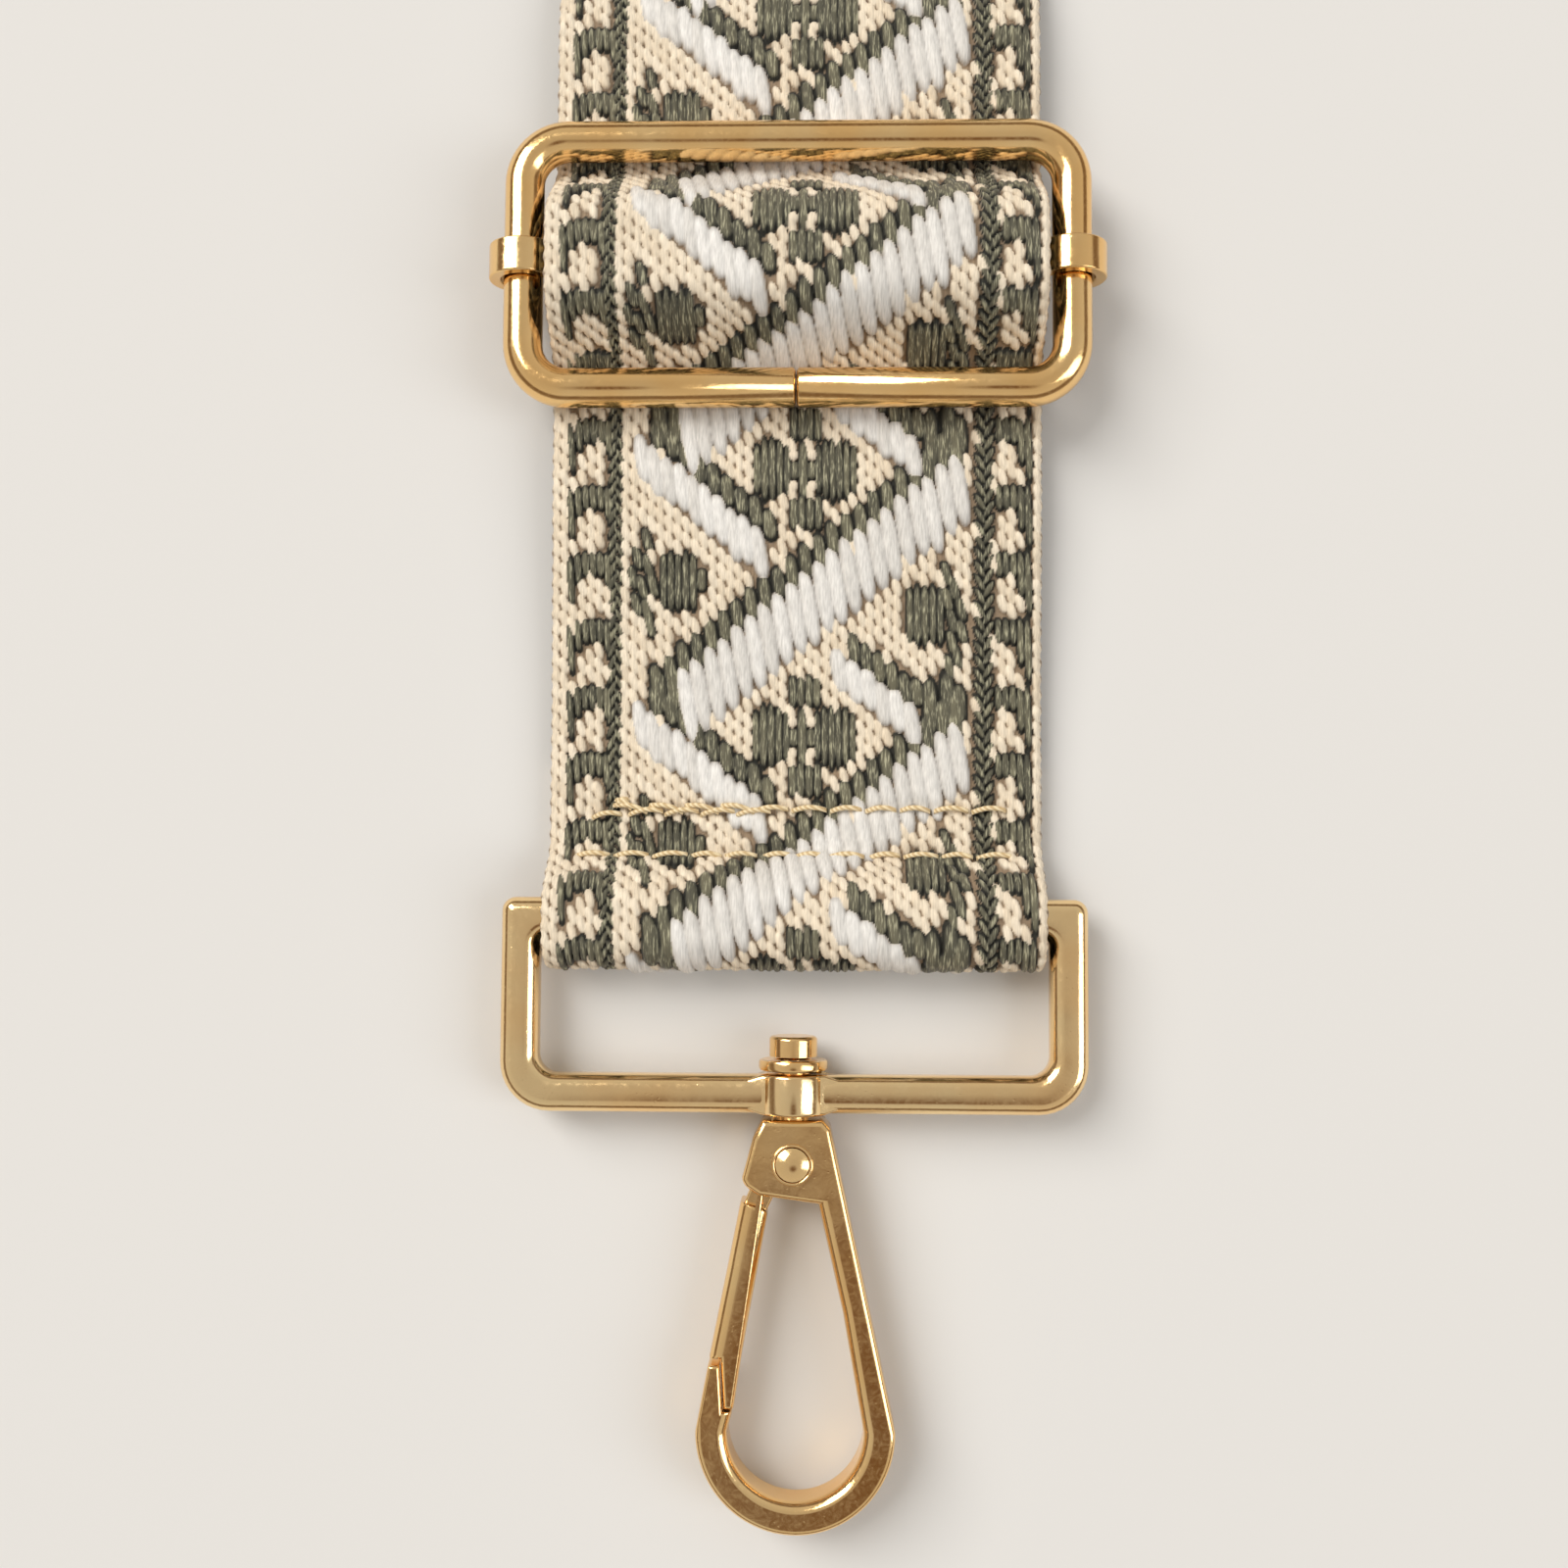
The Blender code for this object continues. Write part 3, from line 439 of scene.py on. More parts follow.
# %% Webbing material
def webbing_material(name, swapped=False):
    """The yarns of the webbing. On its reverse, cream and charcoal change places."""
    material, tree, shader = node_material(name)

    def value_of(layer, output="Fac"):
        return add_node(tree, "ShaderNodeAttribute", attribute_name=layer).outputs[output]

    dark, white, deep, share = (value_of(layer) for layer in ("dark", "white", "deep", "share"))
    fibre = add_node(tree, "ShaderNodeGroup", node_tree=fibre_group, inputs={
        "Place": value_of("cloth_place", "Vector"), "Fineness": 5500.0, "Stretch": 0.14}).outputs["Fibre"]
    cream = mix_color(tree, (0.85, 0.745, 0.585), (0.75, 0.635, 0.475), share)
    # Painted shade: cream turns dark brown in the hollows between and around the floats.
    cream = mix_color(tree, cream, (0.26, 0.18, 0.11), ranged(tree, deep, 0.34, 0.92, 0.0, 0.95))
    olive = mix_color(tree, (0.165, 0.152, 0.098), (0.090, 0.085, 0.058), share)
    # Painted highlight: pale olive streaks along the fibres stand in for the sheen of the charcoal yarn.
    olive = mix_color(tree, olive, (0.42, 0.40, 0.27), ranged(tree, fibre, 0.50, 0.68, 0.0, 0.85))
    # Painted shade: charcoal turns near black in the hollows between its strands.
    olive = mix_color(tree, olive, (0.011, 0.011, 0.008), ranged(tree, deep, 0.12, 0.62, 0.0, 0.95))
    satin_white = mix_color(tree, (0.79, 0.77, 0.73), (0.68, 0.655, 0.61), share)
    # Painted shade: satin turns grey towards the ends and edges of its strands.
    satin_white = mix_color(tree, satin_white, (0.36, 0.33, 0.30), ranged(tree, deep, 0.22, 0.80, 0.0, 0.8))
    if swapped:
        cream, olive = olive, cream
    color = mix_color(tree, mix_color(tree, cream, olive, dark), satin_white, white)
    color = mix_color(tree, color, ranged(tree, fibre, 0.3, 0.7, 0.80, 1.12), 1.0, "MULTIPLY")
    tree.links.new(color, shader.inputs["Base Color"])
    tree.links.new(ranged(tree, white, 0.0, 1.0, 0.72, 0.45), shader.inputs["Roughness"])
    add_bump(tree, shader, fibre, 0.5, 0.07)
    shader.inputs["Sheen Weight"].default_value = 0.15
    shader.inputs["Sheen Roughness"].default_value = 0.5
    shader.inputs["Specular IOR Level"].default_value = 0.3
    return material


WEB_FRONT = webbing_material("jacquard_front")
WEB_BACK = webbing_material("jacquard_back", swapped=True)
print("webbing materials ready")

# %% [markdown]
# ## Paths of the webbing
#
# The webbing lies in layers: one on the table, the next on it, and so on. A path is the middle line of one
# stretch, as points along the strap and up, with smooth steps where it climbs from one layer to the next.
# These are the same lines that the frame's solids follow.

# %% Layers and steps
THICK = 1.2
LAYER = 1.5
RING_Y = 310.0
SLIDER_Y = -244.0
RING_Z = 3.8


def level(layer):
    """Height of the middle of a layer."""
    return THICK / 2 + layer * LAYER


def eased(start, end, steps=24):
    """Points of a smooth step from start to end."""
    (y0, z0), (y1, z1) = start, end
    shares = np.linspace(0, 1, steps + 1)
    return [(y0 + (y1 - y0) * s, z0 + (z1 - z0) * (1 - math.cos(math.pi * s)) / 2) for s in shares]


def arc_points(cx, cy, radius, start, end, steps=10):
    """Points of an arc, from one angle in degrees to another."""
    angles = np.radians(np.linspace(start, end, steps + 1))
    return [(cx + radius * math.cos(a), cy + radius * math.sin(a)) for a in angles]


# %% Round a ring's bar
END_RADIUS = 3.2
LAP = 16.65


def end_loop(tail):
    """From the tail underneath to the layer on top, in distances from the ring's bar."""
    path = [(tail, RING_Z - END_RADIUS)]
    path += arc_points(-1.5, RING_Z, END_RADIUS, -90, -270, 36)
    path += eased((1.2, RING_Z + END_RADIUS), (8.0, level(1)))
    return path + [(LAP, level(1))]


lower_fold_path = [(-RING_Y + u, z) for u, z in end_loop(15.5)]
upper_loop_path = [(RING_Y - u, z) for u, z in end_loop(LAP)]

# %% Over and round the adjuster's bar
BAR_Z = 7.7
over_loop = BAR_Z + 0.6 + THICK
under_bar = BAR_Z - 0.6 - 0.3 - THICK / 2
arch = [(-17.65, level(2))] + eased((-11.6, level(2)), (-3.0, over_loop + LAYER))
arch += eased((3.0, over_loop + LAYER), (11.6, level(2))) + [(24.3, level(2))]
arch += eased((24.3, level(2)), (38.3, level(1))) + [(40.0, level(1))]
arch_path = [(SLIDER_Y + u, z) for u, z in arch]
turn_radius, turn_height = (over_loop - under_bar) / 2, (over_loop + under_bar) / 2
bar_loop = [(24.0, level(0))] + eased((9.3, level(0)), (1.75 - turn_radius, under_bar))
bar_loop += arc_points(-1.45, turn_height, turn_radius, -90, -270, 36)
bar_loop += eased((1.75, over_loop), (9.3, level(1))) + [(24.3, level(1))]
bar_loop += eased((24.3, level(1)), (38.3, level(0))) + [(40.0, level(0))]
bar_loop_path = [(SLIDER_Y + u, z) for u, z in bar_loop]
print("arch rises to", round(max(z for _, z in arch_path), 1), "mm")

# %% [markdown]
# ## Making a strip of cloth
#
# A strip starts as a flat grid. Its points are moved onto the path and lifted by the weave's heights. The
# edges of that sheet are then extruded down to the cloth's inner side, and the inner side is bridged from
# edge to edge, so the strip is a closed body of the right thickness.

# %% A path as a course to lay cloth on
def course(path, step, front_is_left=True):
    """The path's length, and a function that gives y and z at a distance along it and a height over it."""
    points = np.array(path)
    keep = np.r_[True, np.linalg.norm(np.diff(points, axis=0), axis=1) > 1e-4]
    points = points[keep]
    length = np.r_[0, np.cumsum(np.linalg.norm(np.diff(points, axis=0), axis=1))]
    at = np.linspace(0, length[-1], max(2, round(length[-1] / step)) + 1)
    place = np.stack([np.interp(at, length, points[:, i]) for i in (0, 1)], 1)
    ahead = np.gradient(place, axis=0)
    ahead /= np.linalg.norm(ahead, axis=1)[:, None]
    normal = np.stack([-ahead[:, 1], ahead[:, 0]], 1) * (1 if front_is_left else -1)

    def spot(along, height):
        return [np.interp(along, at, place[:, i]) + np.interp(along, at, normal[:, i]) * height
                for i in (0, 1)]

    return at[-1], spot


def path_length(path):
    return float(np.linalg.norm(np.diff(np.array(path), axis=0), axis=1).sum())


# %% Flat grid and its values
WOVEN = ("dark", "white", "deep", "share")


def flat_grid(name, across, along):
    """A flat grid with that many cells, and the column and row share of each of its points."""
    bm = bmesh.new()
    bmesh.ops.create_grid(bm, x_segments=across, y_segments=along, size=0.5)
    mesh = finished_mesh(name, bm)
    places = np.empty(len(mesh.vertices) * 3)
    mesh.vertices.foreach_get("co", places)
    places = places.reshape(-1, 3)
    return mesh, places[:, 0] + 0.5, places[:, 1] + 0.5


def write_values(mesh, values):
    for name, numbers in values.items():
        vector = np.ndim(numbers) == 2
        layer = mesh.attributes.new(name, "FLOAT_VECTOR" if vector else "FLOAT", "POINT")
        layer.data.foreach_set("vector" if vector else "value", np.asarray(numbers, np.float32).ravel())


# %% Close the sheet into a body
INNER_DEPTH = THICK / 2 - 0.02
INNER_HALF = WEB_WIDTH / 2 - 0.15
LINING_PITCH = 0.75
OUTERMOST, NEAR_EDGE = 24.9 * MM, 24.5 * MM
SIDE_TO_SIDE = 40 * MM  # only an edge that crosses the strap is longer


def ends_of(edge, run):
    return abs(edge.verts[0][run] - edge.verts[1][run])


def line_with_weave(bm, run, back, t_at, lined, known):
    """Divide the inner side's ribs as far as lined, and write the weave's values on its new points."""
    ribs = {e for f in back for e in f.edges if abs(e.verts[0].co.x - e.verts[1].co.x) > SIDE_TO_SIDE
            and e.verts[0][run] < lined}
    bmesh.ops.subdivide_edges(bm, edges=list(ribs), cuts=round(WEB_WIDTH / LINING_PITCH))
    bm.verts.index_update()
    lining = [v for v in bm.verts if v.index >= known]
    woven = weave(np.array([v.co.x for v in lining]) / MM, t_at(np.array([v[run] for v in lining])))
    for key in WOVEN:
        layer = bm.verts.layers.float[key]
        for vert, number in zip(lining, woven[key]):
            vert[layer] = number


def close_body(mesh, spot, t_at, cell, closed_ends, lined):
    """Give a woven sheet its walls and inner side."""
    bm = bmesh.new()
    bm.from_mesh(mesh)
    known = len(bm.verts)
    run = bm.verts.layers.float["along"]
    rim = [e for e in bm.edges if e.is_boundary]
    if not closed_ends:
        rim = [e for e in rim if ends_of(e, run) > cell / 4]
    walls = bmesh.ops.extrude_edge_only(bm, edges=rim)["geom"]
    for line in rim:
        line.smooth = ends_of(line, run) > 1e-6
    inner = [g for g in walls if isinstance(g, bmesh.types.BMVert)]
    inner_y, inner_z = spot(np.array([v[run] for v in inner]), -INNER_DEPTH)
    for vert, y, z in zip(inner, inner_y, inner_z):
        at_side = abs(vert.co.x) > OUTERMOST
        x = math.copysign(INNER_HALF, vert.co.x) * MM if at_side else vert.co.x
        vert.co = (x, y * MM, z * MM)
    inner = set(inner)
    sides = [e for e in bm.edges if e.is_boundary and inner.issuperset(e.verts)
             and all(abs(v.co.x) > NEAR_EDGE for v in e.verts)]
    back = bmesh.ops.bridge_loops(bm, edges=sides)["faces"]
    if closed_ends:
        ends = [e for e in bm.edges if e.is_boundary]
        back += bmesh.ops.holes_fill(bm, edges=ends, sides=0)["faces"]
    for face in back:
        face.material_index = 1
    if lined:
        line_with_weave(bm, run, back, t_at, lined, known)
    for face in bm.faces:
        face.smooth = True
    bmesh.ops.recalc_face_normals(bm, faces=bm.faces)
    bm.to_mesh(mesh)
    bm.free()


# %% A woven strip
FRONT_LIFT = 0.28
KNOTS_PER_REPEAT = 17


def woven_strip(name, path, t_at, cell, front_is_left=True, closed_ends=True, pinch=None, values=None,
                hidden=0.0, lined=0.0):
    """A closed strip along a path. t_at turns a distance along the path into the weave's own distance.
    Rows are coarse as far as hidden, a distance along the path, and the inner side shows the weave as far as
    lined."""
    length, spot = course(path, cell, front_is_left)
    rows_at = np.linspace(hidden, length, max(2, round((length - hidden) / cell)) + 1)
    if hidden:
        rows_at = np.r_[np.linspace(0, hidden, round(hidden / (4 * cell)) + 1)[:-1], rows_at]
    mesh, column, row = flat_grid(name, round(WEB_WIDTH / cell), len(rows_at) - 1)
    x = (column - 0.5) * WEB_WIDTH
    along = rows_at[np.round(row * (len(rows_at) - 1)).astype(int)]
    t = t_at(along)
    cloth = weave(x, t)
    lift = cloth["height"] + FRONT_LIFT
    if pinch:
        lift = lift + pinch(x, t)
    knots = np.sin(2 * math.pi * t * KNOTS_PER_REPEAT / REPEAT) * np.clip(np.abs(x) - SELVAGE_FROM, 0, 1)
    points = np.stack([x + 0.10 * knots * np.sign(x), *spot(along, lift)], 1) * MM
    mesh.vertices.foreach_set("co", points.ravel())
    write_values(mesh, {key: cloth[key] for key in WOVEN})
    write_values(mesh, {"along": along, "cloth_place": np.stack([x, t, 0 * x], 1) * MM})
    write_values(mesh, values or {})
    close_body(mesh, spot, t_at, cell, closed_ends, lined)
    return mesh


# %% Add cloth to the scene
def add_cloth(name, mesh, materials=(WEB_FRONT, WEB_BACK)):
    piece = in_scene(name, mesh)
    for material in materials:
        mesh.materials.append(material)
    print(name, len(mesh.polygons), "faces")
    return piece


# %% [markdown]
# ## Lower fold
#
# The end of the webbing goes round the ring's bar and is sewn down with two rows of thread. The thread pulls
# the cloth in, so the weave's height dips along each row. The weave is counted from where the photograph
# shows it: `t = 0` is 50.3 mm above the ring's bar.

# %% Lower fold
ROWS = (39.4, 44.1)
T_ZERO = -259.7
FINE_CELL = 0.15
DIP_DEPTH, DIP_WIDTH, DIP_HALF_LENGTH = 0.42, 0.8, 21.5
UNDERSIDE = 21.0  # the stretch of the fold that lies underneath


def sewn_dip(x, t):
    """How far the two rows of stitches pull the cloth in."""
    dip = np.zeros_like(x)
    for row in ROWS:
        off_row = (t - row - 0.15 * np.sin(1.85 * x)) / DIP_WIDTH
        dip -= DIP_DEPTH * np.exp(-off_row ** 2) * (np.abs(x) < DIP_HALF_LENGTH)
    return dip


fold_length = path_length(lower_fold_path)
fold_top = T_ZERO - (-RING_Y + LAP)
lower_fold = add_cloth("sewn_fold", woven_strip(
    "sewn_fold", lower_fold_path, lambda s: fold_top + fold_length - s, FINE_CELL,
    pinch=sewn_dip, hidden=UNDERSIDE))
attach(lower_fold, "strap")
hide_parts("webbing_lower_fold")

# %% [markdown]
# ## Over the adjuster
#
# The webbing comes up through the adjuster's frame, over its bar and down again. It is one piece with the
# start of the long doubled run above, as far as the layers have settled.

# %% Arch over the adjuster's bar
ARCH_CELL, ARCH_LINED = 0.187, 13.0
arch_length = path_length(arch_path)
arch_start = T_ZERO - (SLIDER_Y - 17.65)


def arch_weave(s):
    """The weave's distance along the arch. Between the frame's two bars the cloth is drawn up by 0.8 mm."""
    drawn = np.interp(s, (1, 7, 31, 37), (0, 0.8, 0.8, 0))
    return arch_start - s + drawn


arch_cloth = add_cloth("adjuster_arch", woven_strip(
    "adjuster_arch", arch_path, arch_weave, ARCH_CELL, lined=ARCH_LINED))
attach(arch_cloth, "slider")
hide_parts("webbing_slider_arch")

# %% Where each further stretch is on the weave
long_start, far_end = SLIDER_Y + 40.0, RING_Y - LAP
upper_run_length = far_end - long_start
loop_length = path_length(upper_loop_path)
top_t = arch_start - arch_length
loop_t = top_t - upper_run_length
back_t = loop_t - loop_length - upper_run_length
print("the upper runs are", round(upper_run_length, 1), "mm long")

# %% Loop round the adjuster's bar
bar_length = path_length(bar_loop_path)
bar_cloth = add_cloth("bar_loop", woven_strip(
    "bar_loop", bar_loop_path, lambda s: back_t - bar_length + s, 0.4,
    lined=bar_length + 1), (WEB_BACK, WEB_FRONT))
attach(bar_cloth, "slider")
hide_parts("webbing_bar_loop")

# %% Loop round the upper ring
upper_cloth = add_cloth("upper_loop", woven_strip(
    "upper_loop", upper_loop_path, lambda s: loop_t - loop_length + s, 0.3, front_is_left=False))
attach(upper_cloth, "upper_end")
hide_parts("webbing_upper_loop")

# %% [markdown]
# ## The straight runs
#
# A run grows and shrinks as the adjuster slides. Stretching its mesh would smear the pattern, so the run is
# one repeat of cloth that Geometry Nodes lays again and again until it reaches a marker at the far end. The
# marker moves with the far body and the first repeat with the near one, so the pattern stays whole at every
# length.
#
# The mesh holds three parts, told apart by the value `part`: 0 is the repeat, 1 is a finer first stretch
# where the photograph looks closely, and 2 is the marker. The last row past the end is drawn back onto it,
# so that there is neither a gap nor an overhang.

# %% Node tree that repeats the cloth
MARKER_PAST_END = 2.0 * MM
COARSE_ROW, FINE_ROW = 0.53 * MM, 0.16 * MM
NO_ROW = -1.0 * MM


def repeat_tree():
    group = bpy.data.node_groups.new("repeat_cloth", "GeometryNodeTree")
    socket(group, "Geometry", "NodeSocketGeometry", "INPUT")
    for name in ("Start", "First End", "Rise"):
        socket(group, name, "NodeSocketFloat", "INPUT", 0.0)
    socket(group, "Geometry", "NodeSocketGeometry", "OUTPUT")
    entry = group.nodes.new("NodeGroupInput").outputs
    cloth, start, first_end = entry["Geometry"], entry["Start"], entry["First End"]

    def add(kind, inputs=None, output=0, **settings):
        return add_node(group, kind, inputs, **settings).outputs[output]

    def maths(operation, a, b=0.0):
        return add("ShaderNodeMath", {0: a, 1: b}, operation=operation)

    def picked(wanted):
        return add("GeometryNodeSeparateGeometry", {"Geometry": cloth, "Selection": wanted}, "Selection",
                   domain="POINT")

    part = add("GeometryNodeInputNamedAttribute", {"Name": "part"}, "Attribute", data_type="FLOAT")
    marker = picked(maths("GREATER_THAN", part, 1.5))
    first = picked(maths("MULTIPLY", maths("GREATER_THAN", part, 0.5), maths("LESS_THAN", part, 1.5)))
    tile = picked(maths("LESS_THAN", part, 0.5))

    marker_corner = add("GeometryNodeBoundBox", {"Geometry": marker}, "Min")
    marker_y = add("ShaderNodeSeparateXYZ", {0: marker_corner}, "Y")
    end = maths("SUBTRACT", marker_y, MARKER_PAST_END)
    length = maths("SUBTRACT", end, first_end)
    count = maths("CEIL", maths("DIVIDE", length, REPEAT * MM))
    line = add("GeometryNodeMeshLine", {
        "Count": maths("MAXIMUM", count, 1), "Offset": (0, REPEAT * MM, 0),
        "Start Location": add("ShaderNodeCombineXYZ", {"Y": maths("SUBTRACT", first_end, start)}),
    }, mode="OFFSET")
    laid = add("GeometryNodeInstanceOnPoints", {
        "Points": line, "Instance": add("GeometryNodeGeometryToInstance", {0: tile})})
    repeats = add("GeometryNodeRealizeInstances", {0: laid})

    y = add("ShaderNodeSeparateXYZ", {0: add("GeometryNodeInputPosition")}, "Y")
    back_to_end = add("ShaderNodeCombineXYZ", {"Y": maths("SUBTRACT", maths("MINIMUM", y, end), y)})

    def trimmed(geometry, row):
        """Cut the cloth one row past the end, and draw that row back onto it."""
        past = maths("GREATER_THAN", y, maths("ADD", end, row))
        cut = add("GeometryNodeDeleteGeometry", {"Geometry": geometry, "Selection": past}, domain="POINT")
        return add("GeometryNodeSetPosition", {"Geometry": cut, "Offset": back_to_end})

    longer = maths("GREATER_THAN", length, 0.1 * MM)
    repeat_row = maths("ADD", maths("MULTIPLY", longer, COARSE_ROW - NO_ROW), NO_ROW)
    whole = group.nodes.new("GeometryNodeJoinGeometry")
    for geometry, row in ((repeats, repeat_row), (first, FINE_ROW)):
        group.links.new(trimmed(geometry, row), whole.inputs[0])
    share = maths("DIVIDE", maths("SUBTRACT", y, start), maths("SUBTRACT", end, start))
    share = maths("MINIMUM", maths("MAXIMUM", share, 0), 1)
    wave = maths("COSINE", maths("MULTIPLY", share, math.pi))
    step = maths("MULTIPLY", maths("SUBTRACT", 1, wave), 0.5)
    climb = add("ShaderNodeCombineXYZ", {"Z": maths("MULTIPLY", step, entry["Rise"])})
    lifted = add("GeometryNodeSetPosition", {"Geometry": whole.outputs[0], "Offset": climb})
    add_node(group, "NodeGroupOutput", {"Geometry": lifted})
    return group


REPEAT_CLOTH = repeat_tree()
print("repeat tree has", len(REPEAT_CLOTH.nodes), "nodes")


# %% The run's mesh
def joined(name, meshes):
    """One mesh of several, with their point values kept."""
    bm = bmesh.new()
    for mesh in meshes:
        bm.from_mesh(mesh)
    return finished_mesh(name, bm)


def marker_mesh(y, z):
    """Three points that ride with the run's far end. Only their place is read."""
    bm = bmesh.new()
    bmesh.ops.create_circle(bm, cap_ends=True, segments=3, radius=0.2 * MM)
    lowest = min(v.co.y for v in bm.verts)
    bmesh.ops.translate(bm, verts=bm.verts, vec=(0, y * MM - lowest, z * MM))
    mesh = finished_mesh("marker", bm)
    write_values(mesh, {"part": np.full(len(mesh.vertices), 2.0)})
    return mesh


# %% Build a run
def make_run(name, start, end, height, t_at, cell, first_cell=None, rise=0.0, front_up=True):
    """A run of cloth from start to end. With first_cell, its first stretch is finer, for a close look."""
    def stretch(near, length, size, part):
        path = [(start, height), (start + length, height)]
        count = (round(WEB_WIDTH / size) + 1) * (max(2, round(length / size)) + 1)
        return woven_strip(name, path, lambda s: t_at(s + near), size, front_is_left=front_up,
                           closed_ends=part > 0, values={"part": np.full(count, part)},
                           lined=length + 1 if first_cell else 0.0)

    parts = [stretch(end - start if first_cell else 0, REPEAT, cell, 0.0)]
    if first_cell:
        parts.append(stretch(0, end - start, first_cell, 1.0))
    parts.append(marker_mesh(end + MARKER_PAST_END / MM, height))
    piece = add_cloth(name, joined(name, parts))
    repeat = piece.modifiers.new("repeat", "NODES")
    repeat.node_group = REPEAT_CLOTH
    values = {"Start": start * MM, "First End": (end if first_cell else start) * MM, "Rise": rise * MM}
    for item in REPEAT_CLOTH.interface.items_tree:
        if item.in_out == "INPUT" and item.name in values:
            repeat[item.identifier] = values[item.name]
    return piece


# %% Lower run, between the fold and the adjuster
run_start, run_end = -RING_Y + LAP, SLIDER_Y - 17.65
lower_run = make_run("lower_run", run_start, run_end, level(1), lambda s: fold_top - s, 0.5,
                     first_cell=FINE_CELL, rise=LAYER)
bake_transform(lower_run, "strap", "slider", (0, (run_end + 0.2) * MM, 0), (0, (run_end + 1.9) * MM, 0))
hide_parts("webbing_lower_run")

# %% Upper runs, from the adjuster to the upper ring
RUN_CELL = 0.52
first_repeat_end = (0, (long_start + REPEAT + 1) * MM, 0)
upper_run = make_run("upper_run", long_start, far_end, level(1), lambda s: top_t - s, RUN_CELL)
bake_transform(upper_run, "slider", "upper_end", first_repeat_end, (0, far_end * MM, 0))
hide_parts("webbing_upper_run")
back_run = make_run("back_run", long_start, far_end, level(0), lambda s: back_t + s, RUN_CELL,
                    front_up=False)
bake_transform(back_run, "slider", "upper_end", first_repeat_end, (0, far_end * MM, 0))
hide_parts("webbing_back_run")

# %% [markdown]
# ## Polished gold metal
#
# The castings and wires are plated and polished. A perfect mirror would look unreal at this distance, so the
# finish has hair scratches, tiny pits and a faint change of tint, all in one node group. The rings get a
# paler copy of the hooks' gold: painted light, for the brighter reflections that the rings show.

# %% Polish group
polish = bpy.data.node_groups.new("worn_polish", "ShaderNodeTree")
socket(polish, "Place", "NodeSocketVector", "INPUT")
socket(polish, "Scratch Size", "NodeSocketFloat", "INPUT", 900.0)
socket(polish, "Pits", "NodeSocketFloat", "INPUT", 0.5)
for name in ("Roughness", "Height", "Tint"):
    socket(polish, name, "NodeSocketFloat", "OUTPUT")
entry = polish.nodes.new("NodeGroupInput").outputs


def polish_noise(**inputs):
    return add_node(polish, "ShaderNodeTexNoise", {"Vector": entry["Place"], **inputs}).outputs[0]


scratch = polish_noise(Scale=entry["Scratch Size"], Detail=4.0, Distortion=2.5)
tint = polish_noise(Scale=120.0)
wave = polish_noise(Scale=220.0, Detail=1.0)
pits = add_node(polish, "ShaderNodeTexVoronoi", {
    "Vector": entry["Place"], "Scale": 1400.0}).outputs["Distance"]
pit_depth = add_node(polish, "ShaderNodeMath", {
    0: ranged(polish, pits, 0.05, 0.16, -0.5, 0.0), 1: entry["Pits"]}, operation="MULTIPLY").outputs[0]
marks = add_node(polish, "ShaderNodeMath", {
    0: scratch, 1: 0.06, 2: pit_depth}, operation="MULTIPLY_ADD").outputs[0]
relief = add_node(polish, "ShaderNodeMath", {
    0: wave, 1: 1.6, 2: marks}, operation="MULTIPLY_ADD").outputs[0]
add_node(polish, "NodeGroupOutput", {
    "Roughness": ranged(polish, scratch, 0.35, 0.75, 0.09, 0.24), "Height": relief, "Tint": tint})


# %% Metal materials
def metal(name, color, second, bump_strength, pits_share):
    """A polished metal whose tint wanders between two colours."""
    material, tree, shader = node_material(name)
    shader.inputs["Metallic"].default_value = 1.0
    place = add_node(tree, "ShaderNodeTexCoord").outputs["Object"]
    finish = add_node(tree, "ShaderNodeGroup", node_tree=polish, inputs={
        "Place": place, "Scratch Size": 900.0, "Pits": pits_share}).outputs
    tinted = mix_color(tree, color, second, ranged(tree, finish["Tint"], 0.35, 0.65, 0.0, 1.0))
    tree.links.new(tinted, shader.inputs["Base Color"])
    tree.links.new(finish["Roughness"], shader.inputs["Roughness"])
    add_bump(tree, shader, finish["Height"], bump_strength, 0.10)
    return material


CAST_GOLD = metal("polished_gold_casting", (0.92, 0.59, 0.25), (0.94, 0.66, 0.32), 0.45, 0.25)
# Painted light: a paler copy of the casting gold makes the rings look more brightly lit than the hooks.
RING_GOLD = metal("ring_gold_painted_brighter", (0.94, 0.64, 0.31), (0.95, 0.71, 0.38), 0.45, 0.25)
WIRE_GOLD = metal("polished_gold_wire", (0.91, 0.57, 0.23), (0.93, 0.64, 0.30), 0.35, 0.2)
STEEL = metal("spring_wire", (0.56, 0.56, 0.57), (0.50, 0.50, 0.52), 0.1, 0.0)
print("metals ready")

# %% [markdown]
# ## Small castings
#
# The frame's own solids already have the true outlines of the small castings, but their mesh is loose
# triangles. Each one is copied, merged, freed of the lines across its flat faces and shaded smooth between
# its edges. Weighted normals keep the flats as even as a mirror.

# %% Shade and show a piece of metal
def shade_smooth(bm, sharp_from):
    """Smooth shading, except at edges that turn by more than that many degrees."""
    for face in bm.faces:
        face.smooth = True
    for line in bm.edges:
        line.smooth = line.calc_face_angle(0) < math.radians(sharp_from)


def show(name, mesh, material, body, node):
    piece = in_scene(name, mesh)
    mesh.materials.append(material)
    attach(piece, body)
    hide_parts(node)
    return piece


def shade_evenly(piece):
    piece.modifiers.new("even shading", "WEIGHTED_NORMAL").keep_sharp = True


# %% Polished copies of the castings
MERGE_WITHIN = 0.002 * MM


